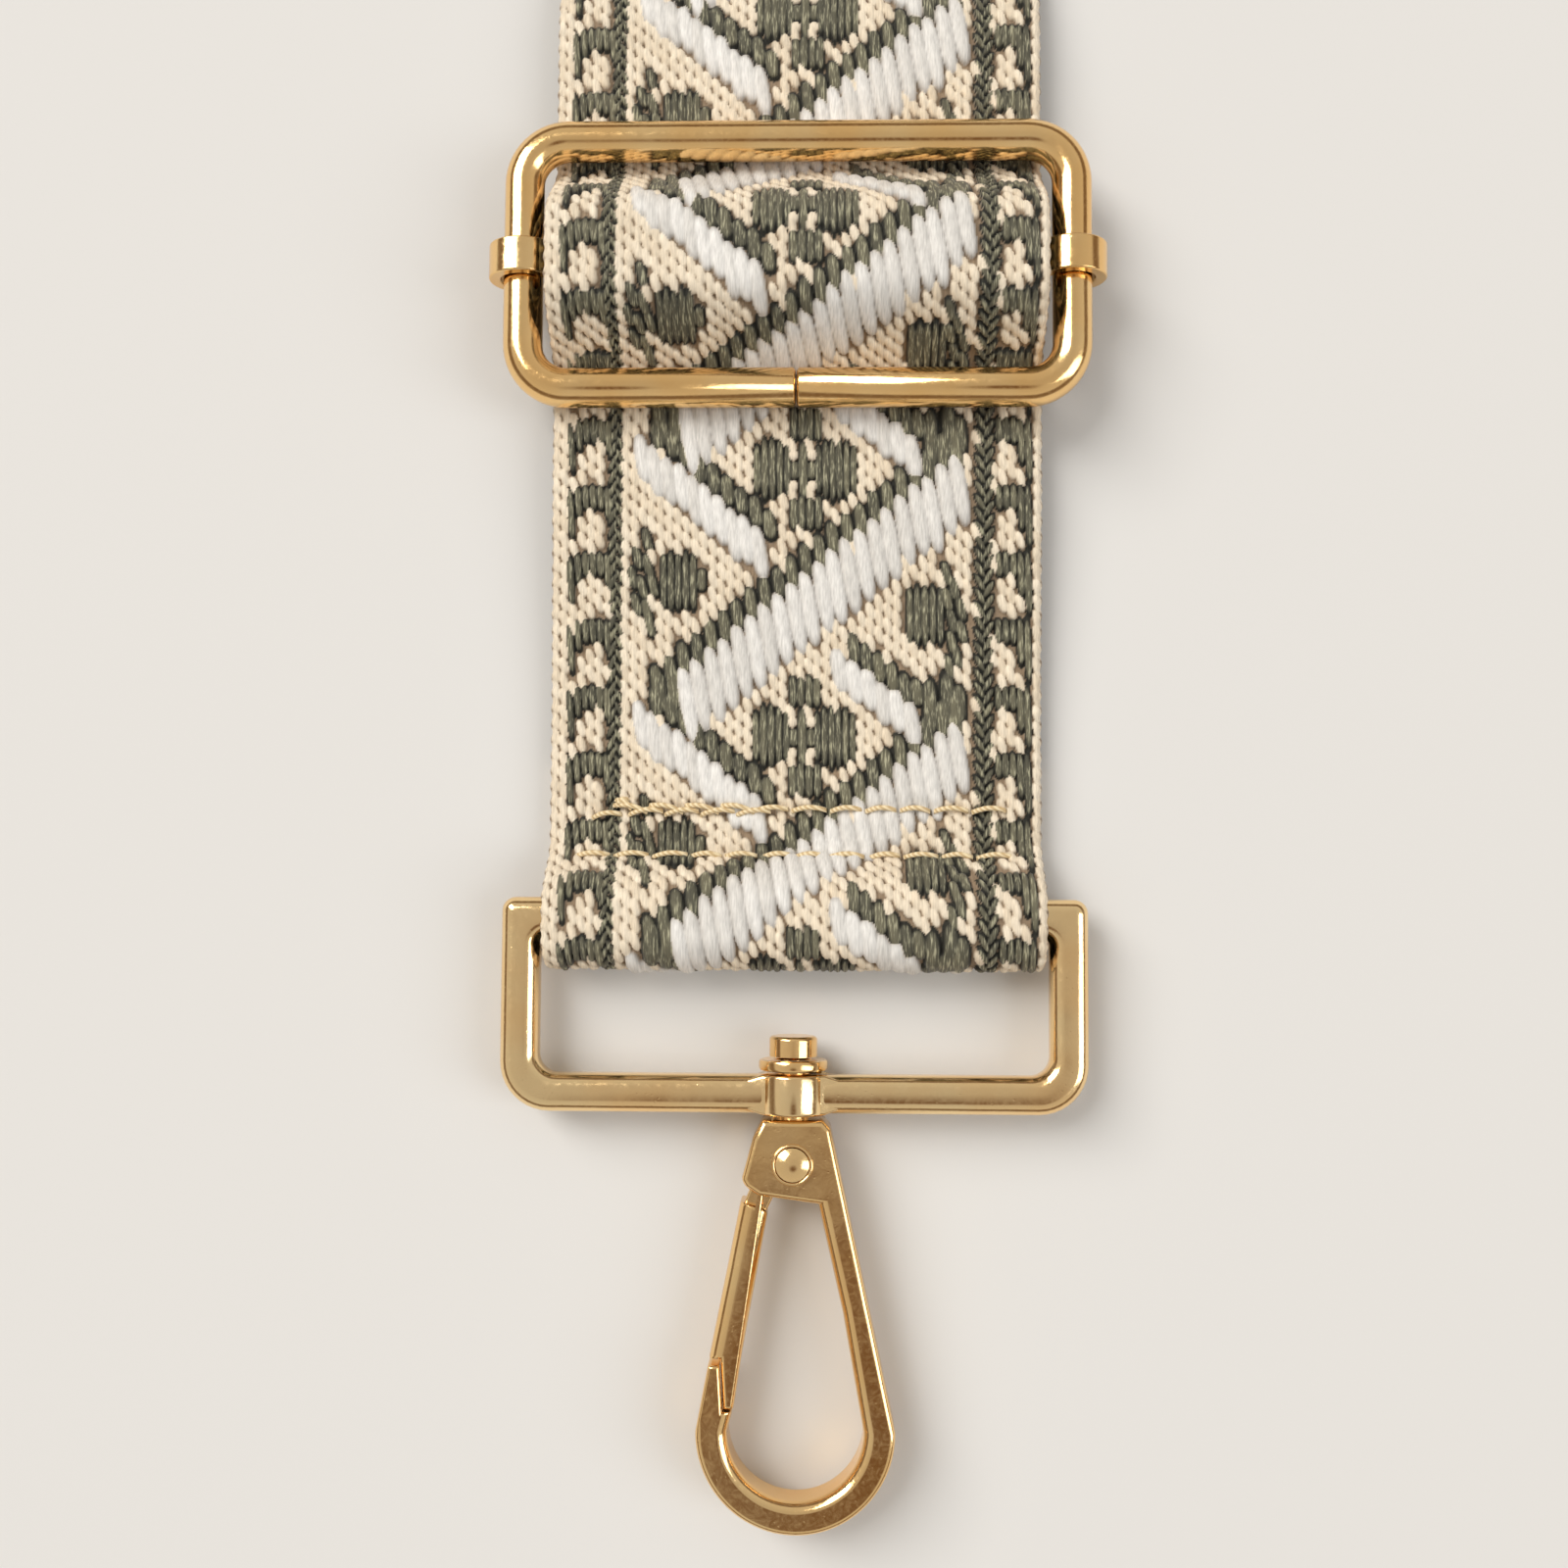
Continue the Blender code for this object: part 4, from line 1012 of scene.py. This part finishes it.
def polished(node, name, body, material, edge=0.0):
    """A polished copy of a frame's solid, with worn edges of that width in millimetres."""
    bm = bmesh.new()
    bm.from_mesh(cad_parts[node].data)
    bmesh.ops.remove_doubles(bm, verts=bm.verts, dist=MERGE_WITHIN)
    bmesh.ops.dissolve_limit(bm, angle_limit=math.radians(1.0), verts=bm.verts, edges=bm.edges)
    shade_smooth(bm, 42)
    piece = show(name, finished_mesh(name, bm), material, body, node)
    if edge:
        bevel = piece.modifiers.new("worn edges", "BEVEL")
        bevel.width = edge * MM
        bevel.segments = 3
        bevel.limit_method = "ANGLE"
        bevel.angle_limit = math.radians(35)
        bevel.harden_normals = True
    shade_evenly(piece)


for side in ("lower", "upper"):
    for part, name in (("swivel_washer", "washer"), ("swivel_cap", "cap"), ("gate_rivet", "rivet")):
        polished(f"{side}_{part}", f"{side}_{name}", f"{side}_hook", CAST_GOLD)
    polished(f"{side}_gate_spring", f"{side}_spring", f"{side}_hook", STEEL)
polished("slider_bar", "crimped_bar", "slider", WIRE_GOLD, edge=0.2)
print("castings polished")

# %% [markdown]
# ## Rings
#
# The ring is a casting of one square bar with generous rounding, and a barrel in its far side that holds the
# swivel's post. Two outlines are bridged into a flat frame, which is extruded to its thickness and bevelled
# so far that the bar is almost round on top. The barrel is a short cylinder between two hollow shoulders,
# drawn as one outline and extruded along the post.

# %% Outlines in the flat
def outline_loop(bm, points):
    """A closed line of edges through the points, for the operators to fill or bridge."""
    verts = [bm.verts.new((x, y, 0)) for x, y in points]
    return [bm.edges.new((a, b)) for a, b in zip(verts, verts[1:] + verts[:1])]


def ring_outline(half, near, far, near_corner, far_corner):
    """A rectangle with round corners, small on the strap's side and large on the hook's side."""
    return (arc_points(half - far_corner, far - far_corner, far_corner, 0, 90)
            + arc_points(far_corner - half, far - far_corner, far_corner, 90, 180)
            + arc_points(near_corner - half, near + near_corner, near_corner, 180, 270)
            + arc_points(half - near_corner, near + near_corner, near_corner, 270, 360))


# %% From outline to casting
QUARTER_TURN = Matrix.Rotation(math.pi / 2, 3, "X")


def verts_of(geometry):
    return [part for part in geometry if isinstance(part, bmesh.types.BMVert)]


def is_level(line):
    return abs(line.verts[0].co.z - line.verts[1].co.z) < 0.01


def thicken(bm, thickness):
    """Extrude the flat faces into a slab with its middle at z = 0."""
    pulled = bmesh.ops.extrude_face_region(bm, geom=bm.faces[:])["geom"]
    bmesh.ops.translate(bm, verts=verts_of(pulled), vec=(0, 0, thickness))
    bmesh.ops.translate(bm, verts=bm.verts, vec=(0, 0, -thickness / 2))
    bmesh.ops.recalc_face_normals(bm, faces=bm.faces)


def round_rims(bm, radius, segments):
    rims = [e for e in bm.edges if e.calc_face_angle(0) > math.radians(60) and is_level(e)]
    bmesh.ops.bevel(bm, geom=rims, offset=radius, offset_type="OFFSET", affect="EDGES", segments=segments,
                    profile=0.5, material=-1)


def put_on_clasp(bm, side, distance):
    """Turn a piece for its end of the strap, put it that far from the strap's middle, and go to metres."""
    if side == "lower":
        bmesh.ops.rotate(bm, verts=bm.verts, cent=(0, 0, 0), matrix=Matrix.Rotation(math.pi, 3, "Z"))
        distance = -distance
    bmesh.ops.translate(bm, verts=bm.verts, vec=(0, distance, RING_Z))
    bmesh.ops.scale(bm, verts=bm.verts, vec=(MM, MM, MM))


# %% Ring casting
RING_SIDE = 3.8
RING_INSIDE_HALF = 25.5
RING_ROUNDING = 1.35
BAR_TO_BAR = 17.5
BARREL_RADIUS, BARREL_ROUNDING = 3.35, 0.35
SHOULDER_REACH, SHOULDER_HALF = 6.2, 1.55
SHOULDER_FROM = 36  # the angle round the barrel, in degrees, at which a shoulder meets it
TAPER_FROM, TAPER_OVER = 2.9, 3.0  # the shoulders get thinner along the post towards the bar


def ring_barrel():
    """The barrel that holds the post, with a shoulder on each side, round y."""
    bm = bmesh.new()
    edge_x = BARREL_RADIUS * math.cos(math.radians(SHOULDER_FROM))
    edge_z = BARREL_RADIUS * math.sin(math.radians(SHOULDER_FROM))
    shoulder = [(edge_x + (SHOULDER_REACH - edge_x) * s,
                 edge_z - (edge_z - SHOULDER_HALF) * math.sin(math.pi / 2 * s))
                for s in np.linspace(1, 0.12, 9)]
    top = shoulder + arc_points(0, 0, BARREL_RADIUS, SHOULDER_FROM, 180 - SHOULDER_FROM, 28)
    top += [(-x, z) for x, z in reversed(shoulder)]
    outline_loop(bm, top + [(x, -z) for x, z in reversed(top)])
    bmesh.ops.contextual_create(bm, geom=bm.edges)
    thicken(bm, RING_SIDE + 0.25)
    round_rims(bm, BARREL_ROUNDING, 4)
    for vert in bm.verts:
        vert.co.z *= 1 - 0.5 * min(1.0, max(0.0, (abs(vert.co.x) - TAPER_FROM) / TAPER_OVER))
    bmesh.ops.rotate(bm, verts=bm.verts, cent=(0, 0, 0), matrix=QUARTER_TURN)
    bmesh.ops.translate(bm, verts=bm.verts, vec=(0, BAR_TO_BAR, 0))
    return finished_mesh("barrel", bm)


def ring_casting(name, side):
    bm = bmesh.new()
    bar = RING_SIDE / 2
    outside = ring_outline(RING_INSIDE_HALF + RING_SIDE, -bar, BAR_TO_BAR + bar, 1.4, 5.0)
    inside = ring_outline(RING_INSIDE_HALF, bar, BAR_TO_BAR - bar, 0.9, 1.9)
    bmesh.ops.bridge_loops(bm, edges=outline_loop(bm, outside) + outline_loop(bm, inside))
    thicken(bm, RING_SIDE)
    round_rims(bm, RING_ROUNDING, 7)
    bm.from_mesh(ring_barrel())
    put_on_clasp(bm, side, RING_Y)
    shade_smooth(bm, 35)
    return finished_mesh(name, bm)


for side in ("lower", "upper"):
    name = f"{side}_clasp_ring"
    ring = show(name, ring_casting(name, side), RING_GOLD, f"{side}_ring", f"{side}_ring")
    print(name, len(ring.data.polygons), "faces")

# %% [markdown]
# ## Hooks and gates
#
# A die-cast hook is one flat outline with well rounded edges. Its clevis is slotted for the root of the
# gate, and the gate laps behind the hook's nose. A raised bead runs round the rivet's hole on both cheeks.
#
# Each is drawn as an outline in the clasp's own plane: `x` towards the gate, `q` away from the strap, both
# from the middle of the swivel. The outline is filled and extruded, and the slot and the rivet's bore are
# cut. The edges are rounded last and by weight, because the thin nose can't take as round an edge as the
# limb.

# %% Flat casting with rounded edges
def flat_casting(name, points, thickness, rounding, share=None):
    """An extruded outline in millimetres. share(x, q) says how much of the rounding a rim edge gets."""
    bm = bmesh.new()
    outline_loop(bm, points)
    bmesh.ops.contextual_create(bm, geom=bm.edges[:])
    thicken(bm, thickness)
    weight = bm.edges.layers.float.new("bevel_weight_edge")
    for line in bm.edges:
        middle = (line.verts[0].co + line.verts[1].co) / 2
        if is_level(line) or line.calc_face_angle(0) > math.radians(25):
            line[weight] = (share(middle.x, middle.y) if share else 1.0) * (1.0 if is_level(line) else 0.5)
    piece = in_scene(name, finished_mesh(name, bm))
    bevel = piece.modifiers.new("rounded edges", "BEVEL")
    bevel.limit_method = "WEIGHT"
    bevel.width = rounding
    bevel.segments = 6
    bevel.use_clamp_overlap = False
    return piece


# %% Rods, boxes and beads
def rod(name, radius, long, place=(0, 0, 0), along_strap=False):
    bm = bmesh.new()
    bmesh.ops.create_cone(bm, cap_ends=True, segments=48, radius1=radius, radius2=radius, depth=long)
    if along_strap:
        bmesh.ops.rotate(bm, verts=bm.verts, cent=(0, 0, 0), matrix=QUARTER_TURN)
    bmesh.ops.translate(bm, verts=bm.verts, vec=place)
    return in_scene(name, finished_mesh(name, bm))


def box(name, size, place):
    bm = bmesh.new()
    bmesh.ops.create_cube(bm, size=1.0)
    bmesh.ops.scale(bm, verts=bm.verts, vec=size)
    bmesh.ops.translate(bm, verts=bm.verts, vec=place)
    return in_scene(name, finished_mesh(name, bm))


def bead(radius, thick, q, height):
    """A thin ring of metal round the rivet's hole."""
    bm = bmesh.new()
    bmesh.ops.create_circle(bm, segments=10, radius=thick)
    bmesh.ops.rotate(bm, verts=bm.verts, cent=(0, 0, 0), matrix=QUARTER_TURN)
    bmesh.ops.translate(bm, verts=bm.verts, vec=(radius, q, height))
    bmesh.ops.spin(bm, geom=bm.verts[:] + bm.edges[:], cent=(0, q, 0), axis=(0, 0, 1),
                   angle=2 * math.pi, steps=56)
    bmesh.ops.remove_doubles(bm, verts=bm.verts, dist=MERGE_WITHIN / MM)
    bmesh.ops.recalc_face_normals(bm, faces=bm.faces)
    return in_scene("bead", finished_mesh("bead", bm))


# %% Cut a casting and put it on its clasp
def evaluated_mesh(piece):
    return bpy.data.meshes.new_from_object(piece.evaluated_get(bpy.context.evaluated_depsgraph_get()))


def cut_and_placed(piece, cutters, extras, side):
    """Take the cutters away before the edges are rounded, add the extras, and put it on its clasp."""
    for tool in cutters:
        cut = piece.modifiers.new("cut", "BOOLEAN")
        cut.object = tool
        cut.solver = "EXACT"
        piece.modifiers.move(len(piece.modifiers) - 1, 0)
    bpy.context.view_layer.update()
    finished = evaluated_mesh(piece)
    bm = bmesh.new()
    bm.from_mesh(finished)
    for extra in extras:
        bm.from_mesh(evaluated_mesh(extra))
    put_on_clasp(bm, side, RING_Y + BAR_TO_BAR)
    shade_smooth(bm, 38)
    bm.to_mesh(finished)
    bm.free()
    for item in (piece, *cutters, *extras):
        bpy.data.objects.remove(item)
    return finished


# %% Hook casting
BEND = (-0.4, 32.5)
BEND_INSIDE, BEND_OUTSIDE = 6.66, 9.75
RIVET_Q = 6.7
HOOK_THICK, HOOK_ROUNDING = 5.0, 1.05
SLOT_WIDE, SLOT_RADIUS, BORE_RADIUS = 3.0, 3.1, 1.75
POST_RADIUS, POST_LONG = 1.6, 6.0
BEAD_RADIUS, BEAD_THICK = 1.88, 0.17
LAP_START, LAP_END = 26.1, 30.6
hook_outline = [(-3.0, 2.4), (3.0, 2.4), (3.9, 4.1), (5.0, 8.2), (4.6, 8.9), (3.3, 9.75),
                (-2.55, 10.5), (-5.0, 21.0)]
hook_outline += arc_points(*BEND, BEND_INSIDE, 180, 0, 48)
hook_outline += [(5.75, LAP_END), (6.75, LAP_END), (7.05, LAP_START), (8.15, LAP_START)]
hook_outline += arc_points(*BEND, BEND_OUTSIDE, 0, 180, 60)
hook_outline += [(-3.75, 3.2)]


def hook_share(x, q):
    """The limb's inner rim is the roundest, the outer rim and cheeks less so, the lap nearly square."""
    if x > 6.05 and LAP_START - 0.1 < q < LAP_END + 0.1:
        return 0.3
    in_bend = math.hypot(x - BEND[0], q - BEND[1]) < BEND_INSIDE + 0.94
    on_limb = -6.5 < x < -3.5 and q > 14
    return 1.0 if (in_bend if q > LAP_END + 0.1 else on_limb) else 0.55


def make_hook(side):
    body = flat_casting("hook", hook_outline[::-1], HOOK_THICK, HOOK_ROUNDING, hook_share)
    cutters = (rod("slot", SLOT_RADIUS, SLOT_WIDE, (0, RIVET_Q, 0)),
               box("mouth", (13.0, 5.6, SLOT_WIDE), (4.0, 9.5, 0)),
               rod("bore", BORE_RADIUS, 9.0, (0, RIVET_Q, 0)))
    post = rod("post", POST_RADIUS, POST_LONG, along_strap=True)
    cheeks = (0.05 - HOOK_THICK / 2, HOOK_THICK / 2 - 0.05)
    beads = [bead(BEAD_RADIUS, BEAD_THICK, RIVET_Q, height) for height in cheeks]
    mesh = cut_and_placed(body, cutters, (post, *beads), side)
    hook = show(f"{side}_hook_casting", mesh, CAST_GOLD, f"{side}_hook", f"{side}_hook_body")
    shade_evenly(hook)
    print(side, "hook", len(mesh.polygons), "faces")


for side in ("lower", "upper"):
    make_hook(side)

# %% Gate casting
GATE_THICK, GATE_ROUNDING = 4.2, 1.3
ROOT_THICK, ROOT_ROUNDING, ROOT_RADIUS = 2.4, 0.25, 3.0
gate_outline = [(2.35, 11.2), (5.1, 10.35), (8.1, 25.6), (6.95, 25.6), (6.65, 30.45), (5.65, 30.45),
                (4.95, 25.6)]
root_outline = arc_points(0, RIVET_Q, ROOT_RADIUS, 130, 350, 40)
root_outline += [(4.75, 10.6), (5.3, 13.0), (3.3, 13.0), (2.55, 11.4), (1.6, 9.4)]


def gate_share(x, q):
    """The lap and the end at the root are nearly square."""
    return 0.3 if q > 25.0 or q < 11.0 else 1.0


def make_gate(side):
    limb = flat_casting("gate", gate_outline, GATE_THICK, GATE_ROUNDING, gate_share)
    root = flat_casting("root", root_outline, ROOT_THICK, ROOT_ROUNDING)
    mesh = cut_and_placed(limb, (), (root,), side)
    gate = show(f"{side}_gate_casting", mesh, CAST_GOLD, f"{side}_gate", f"{side}_gate")
    shade_evenly(gate)
    print(side, "gate", len(mesh.polygons), "faces")


for side in ("lower", "upper"):
    make_gate(side)

# %% [markdown]
# ## The adjuster's wire
#
# The frame of the adjuster is one round wire, bent four times, whose ends meet in the middle of one side. It
# is made the way the wire is: a circle is pushed along a straight, spun round a corner, and so on until it
# meets itself.

# %% Push and bend a wire
def new_edges(made, verts):
    """The edges among the new parts that run round the wire."""
    inside = set(verts)
    return [part for part in made if isinstance(part, bmesh.types.BMEdge) and inside.issuperset(part.verts)]


def push(bm, edges, way, scale=None):
    made = bmesh.ops.extrude_edge_only(bm, edges=edges)["geom"]
    verts = verts_of(made)
    bmesh.ops.translate(bm, verts=verts, vec=way)
    if scale:
        middle = sum((v.co for v in verts), Vector()) / len(verts)
        bmesh.ops.scale(bm, verts=verts, vec=(scale,) * 3, space=Matrix.Translation(-middle))
    return new_edges(made, verts)


def bend(bm, edges, centre):
    made = bmesh.ops.spin(bm, geom=edges, cent=centre, axis=(0, 0, 1), angle=math.pi / 2, steps=14)
    return [part for part in made["geom_last"] if isinstance(part, bmesh.types.BMEdge)]


# %% Bent wire frame
WIRE_HALF_X, WIRE_HALF_Y, WIRE_Z = 27.75, 12.75, 6.5
WIRE_RADIUS, WIRE_CORNER = 2.0, 4.5
SEAM_HALF, END_ROUND, END_SHARE = 0.07, 0.22, 0.86


def bent_wire(name):
    bm = bmesh.new()
    circle = bmesh.ops.create_circle(bm, segments=32, radius=WIRE_RADIUS)["verts"]
    bmesh.ops.rotate(bm, verts=circle, cent=(0, 0, 0), matrix=Matrix.Rotation(math.pi / 2, 3, "Y"))
    bmesh.ops.scale(bm, verts=circle, vec=(1, END_SHARE, END_SHARE))
    bmesh.ops.translate(bm, verts=circle, vec=(SEAM_HALF, -WIRE_HALF_Y, WIRE_Z))
    edges = list({e for v in circle for e in v.link_edges})
    x, y = WIRE_HALF_X - WIRE_CORNER, WIRE_HALF_Y - WIRE_CORNER
    half_side = (x - SEAM_HALF - END_ROUND, 0, 0)
    edges = push(bm, edges, (END_ROUND, 0, 0), 1 / END_SHARE)
    for way, centre in ((half_side, (x, -y)), ((0, 2 * y, 0), (x, y)), ((-2 * x, 0, 0), (-x, y)),
                        ((0, -2 * y, 0), (-x, -y))):
        edges = push(bm, edges, way)
        edges = bend(bm, edges, (*centre, WIRE_Z))
    edges = push(bm, edges, half_side)
    push(bm, edges, (END_ROUND, 0, 0), END_SHARE)
    bmesh.ops.holes_fill(bm, edges=[e for e in bm.edges if e.is_boundary], sides=0)
    bmesh.ops.recalc_face_normals(bm, faces=bm.faces)
    for face in bm.faces:
        face.smooth = len(face.verts) == 4
    bmesh.ops.translate(bm, verts=bm.verts, vec=(0, SLIDER_Y, 0))
    bmesh.ops.scale(bm, verts=bm.verts, vec=(MM, MM, MM))
    return finished_mesh(name, bm)


wire = show("wire_frame", bent_wire("wire_frame"), WIRE_GOLD, "slider", "slider_frame")
print("wire", len(wire.data.polygons), "faces")

# %% [markdown]
# ## Stitching
#
# Two rows of golden thread hold the fold. A machine stitch is a short length of two-ply thread that comes
# out of one hole and dives into the next, so each one is a thin tube that arches a little and sinks at both
# ends. At the left end of the upper row the seam is sewn over twice, and a few short ends are left.

# %% Thread material
thread_material, tree, shader = node_material("golden_thread")
place = add_node(tree, "ShaderNodeTexCoord").outputs["Object"]
ply = add_node(tree, "ShaderNodeTexWave", {"Vector": place, "Scale": 900.0, "Distortion": 0.6},
               bands_direction="DIAGONAL").outputs["Fac"]
# Painted shade: the thread is darker in the grooves between its plies, where the bump is low.
tree.links.new(mix_color(tree, (0.58, 0.41, 0.20), (0.88, 0.73, 0.46), ply), shader.inputs["Base Color"])
add_bump(tree, shader, ply, 0.6, 0.06)
shader.inputs["Roughness"].default_value = 0.5
shader.inputs["Sheen Weight"].default_value = 0.2

# %% One stitch
THREAD_RADIUS = 0.27
SINK, BOW = 0.75, 0.34
STITCH_STEPS = 9


def stitch(bm, start, end, height):
    """A tube from start to end, in millimetres on the cloth, that sinks into it at both ends."""
    start, end = Vector(start), Vector(end)
    way = (end - start).normalized()
    circle = bmesh.ops.create_circle(bm, segments=8, radius=THREAD_RADIUS)["verts"]
    facing = Vector((0, 0, 1)).rotation_difference((*way, 0)).to_matrix()
    bmesh.ops.rotate(bm, verts=circle, cent=(0, 0, 0), matrix=facing)
    along = [i / STITCH_STEPS for i in range(STITCH_STEPS + 1)]
    heights = [height - SINK + SINK * math.sin(math.pi * (0.04 + 0.92 * s)) ** 0.5 for s in along]
    bows = [BOW * math.sin(math.pi * s) for s in along]
    bmesh.ops.translate(bm, verts=circle, vec=(start.x, start.y, heights[0]))
    first = edges = list({e for v in circle for e in v.link_edges})
    step = (end - start) / STITCH_STEPS
    for i in range(STITCH_STEPS):
        bow = bows[i + 1] - bows[i]
        edges = push(bm, edges, (step.x - bow * way.y, step.y + bow * way.x, heights[i + 1] - heights[i]))
    bmesh.ops.contextual_create(bm, geom=first)
    bmesh.ops.contextual_create(bm, geom=edges)


# %% Rows of stitches
STITCH_LONG, STITCH_GAP = 3.35, 0.35
ROW_END = 20.5
SEAM_ROWS = ((ROWS[0], -4.3, 0.0), (ROWS[1], -22.2, 0.14))
SHORT_ENDS = (((-20.6, -1.0), (-17.6, -0.6)), ((-18.3, 0.9), (-16.6, -0.1)), ((-17.9, 0.2), (-16.9, 1.0)),
              ((-18.2, 0.2), (-17.2, 0.5)))


def cloth_top(row):
    """Height of the middle of a thread that lies on the cloth's face along a row."""
    upper_part = np.array([p for p in lower_fold_path if p[1] > 1.5 and p[0] > -RING_Y])
    order = np.argsort(upper_part[:, 0])
    return np.interp(T_ZERO - row, upper_part[order, 0], upper_part[order, 1]) + FRONT_LIFT + 0.58


def thread_rows():
    bm = bmesh.new()
    count = 0
    for row, x, proud in SEAM_ROWS:
        y = T_ZERO - row - 0.15
        while x < ROW_END - 1:
            length = STITCH_LONG + 0.3 * rng.uniform(-1, 1)
            tilt = 0.06 + 0.1 * rng.uniform(-1, 1)
            stitch(bm, (x, y - tilt), (x + length, y + tilt), cloth_top(row) + proud)
            x += length + STITCH_GAP
            count += 1
    y, top = T_ZERO - ROWS[0], cloth_top(ROWS[0])
    for x in np.arange(-16.9, -4.0, 3.65):
        stitch(bm, (x, y - 0.65), (x + 3.5, y - 0.25), top + 0.05)
        stitch(bm, (x - 1.6, y + 0.3), (x + 1.9, y - 0.4), top + 0.12)
        count += 2
    for (x0, y0), (x1, y1) in SHORT_ENDS:
        stitch(bm, (x0, y + y0), (x1, y + y1), top + 0.1)
        count += 1
    for face in bm.faces:
        face.smooth = True
    bmesh.ops.recalc_face_normals(bm, faces=bm.faces)
    bmesh.ops.scale(bm, verts=bm.verts, vec=(MM, MM, MM))
    return finished_mesh("stitching", bm), count


thread_mesh, stitches = thread_rows()
thread = in_scene("stitching", thread_mesh)
thread_mesh.materials.append(thread_material)
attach(thread, "strap")
print(stitches, "stitches")
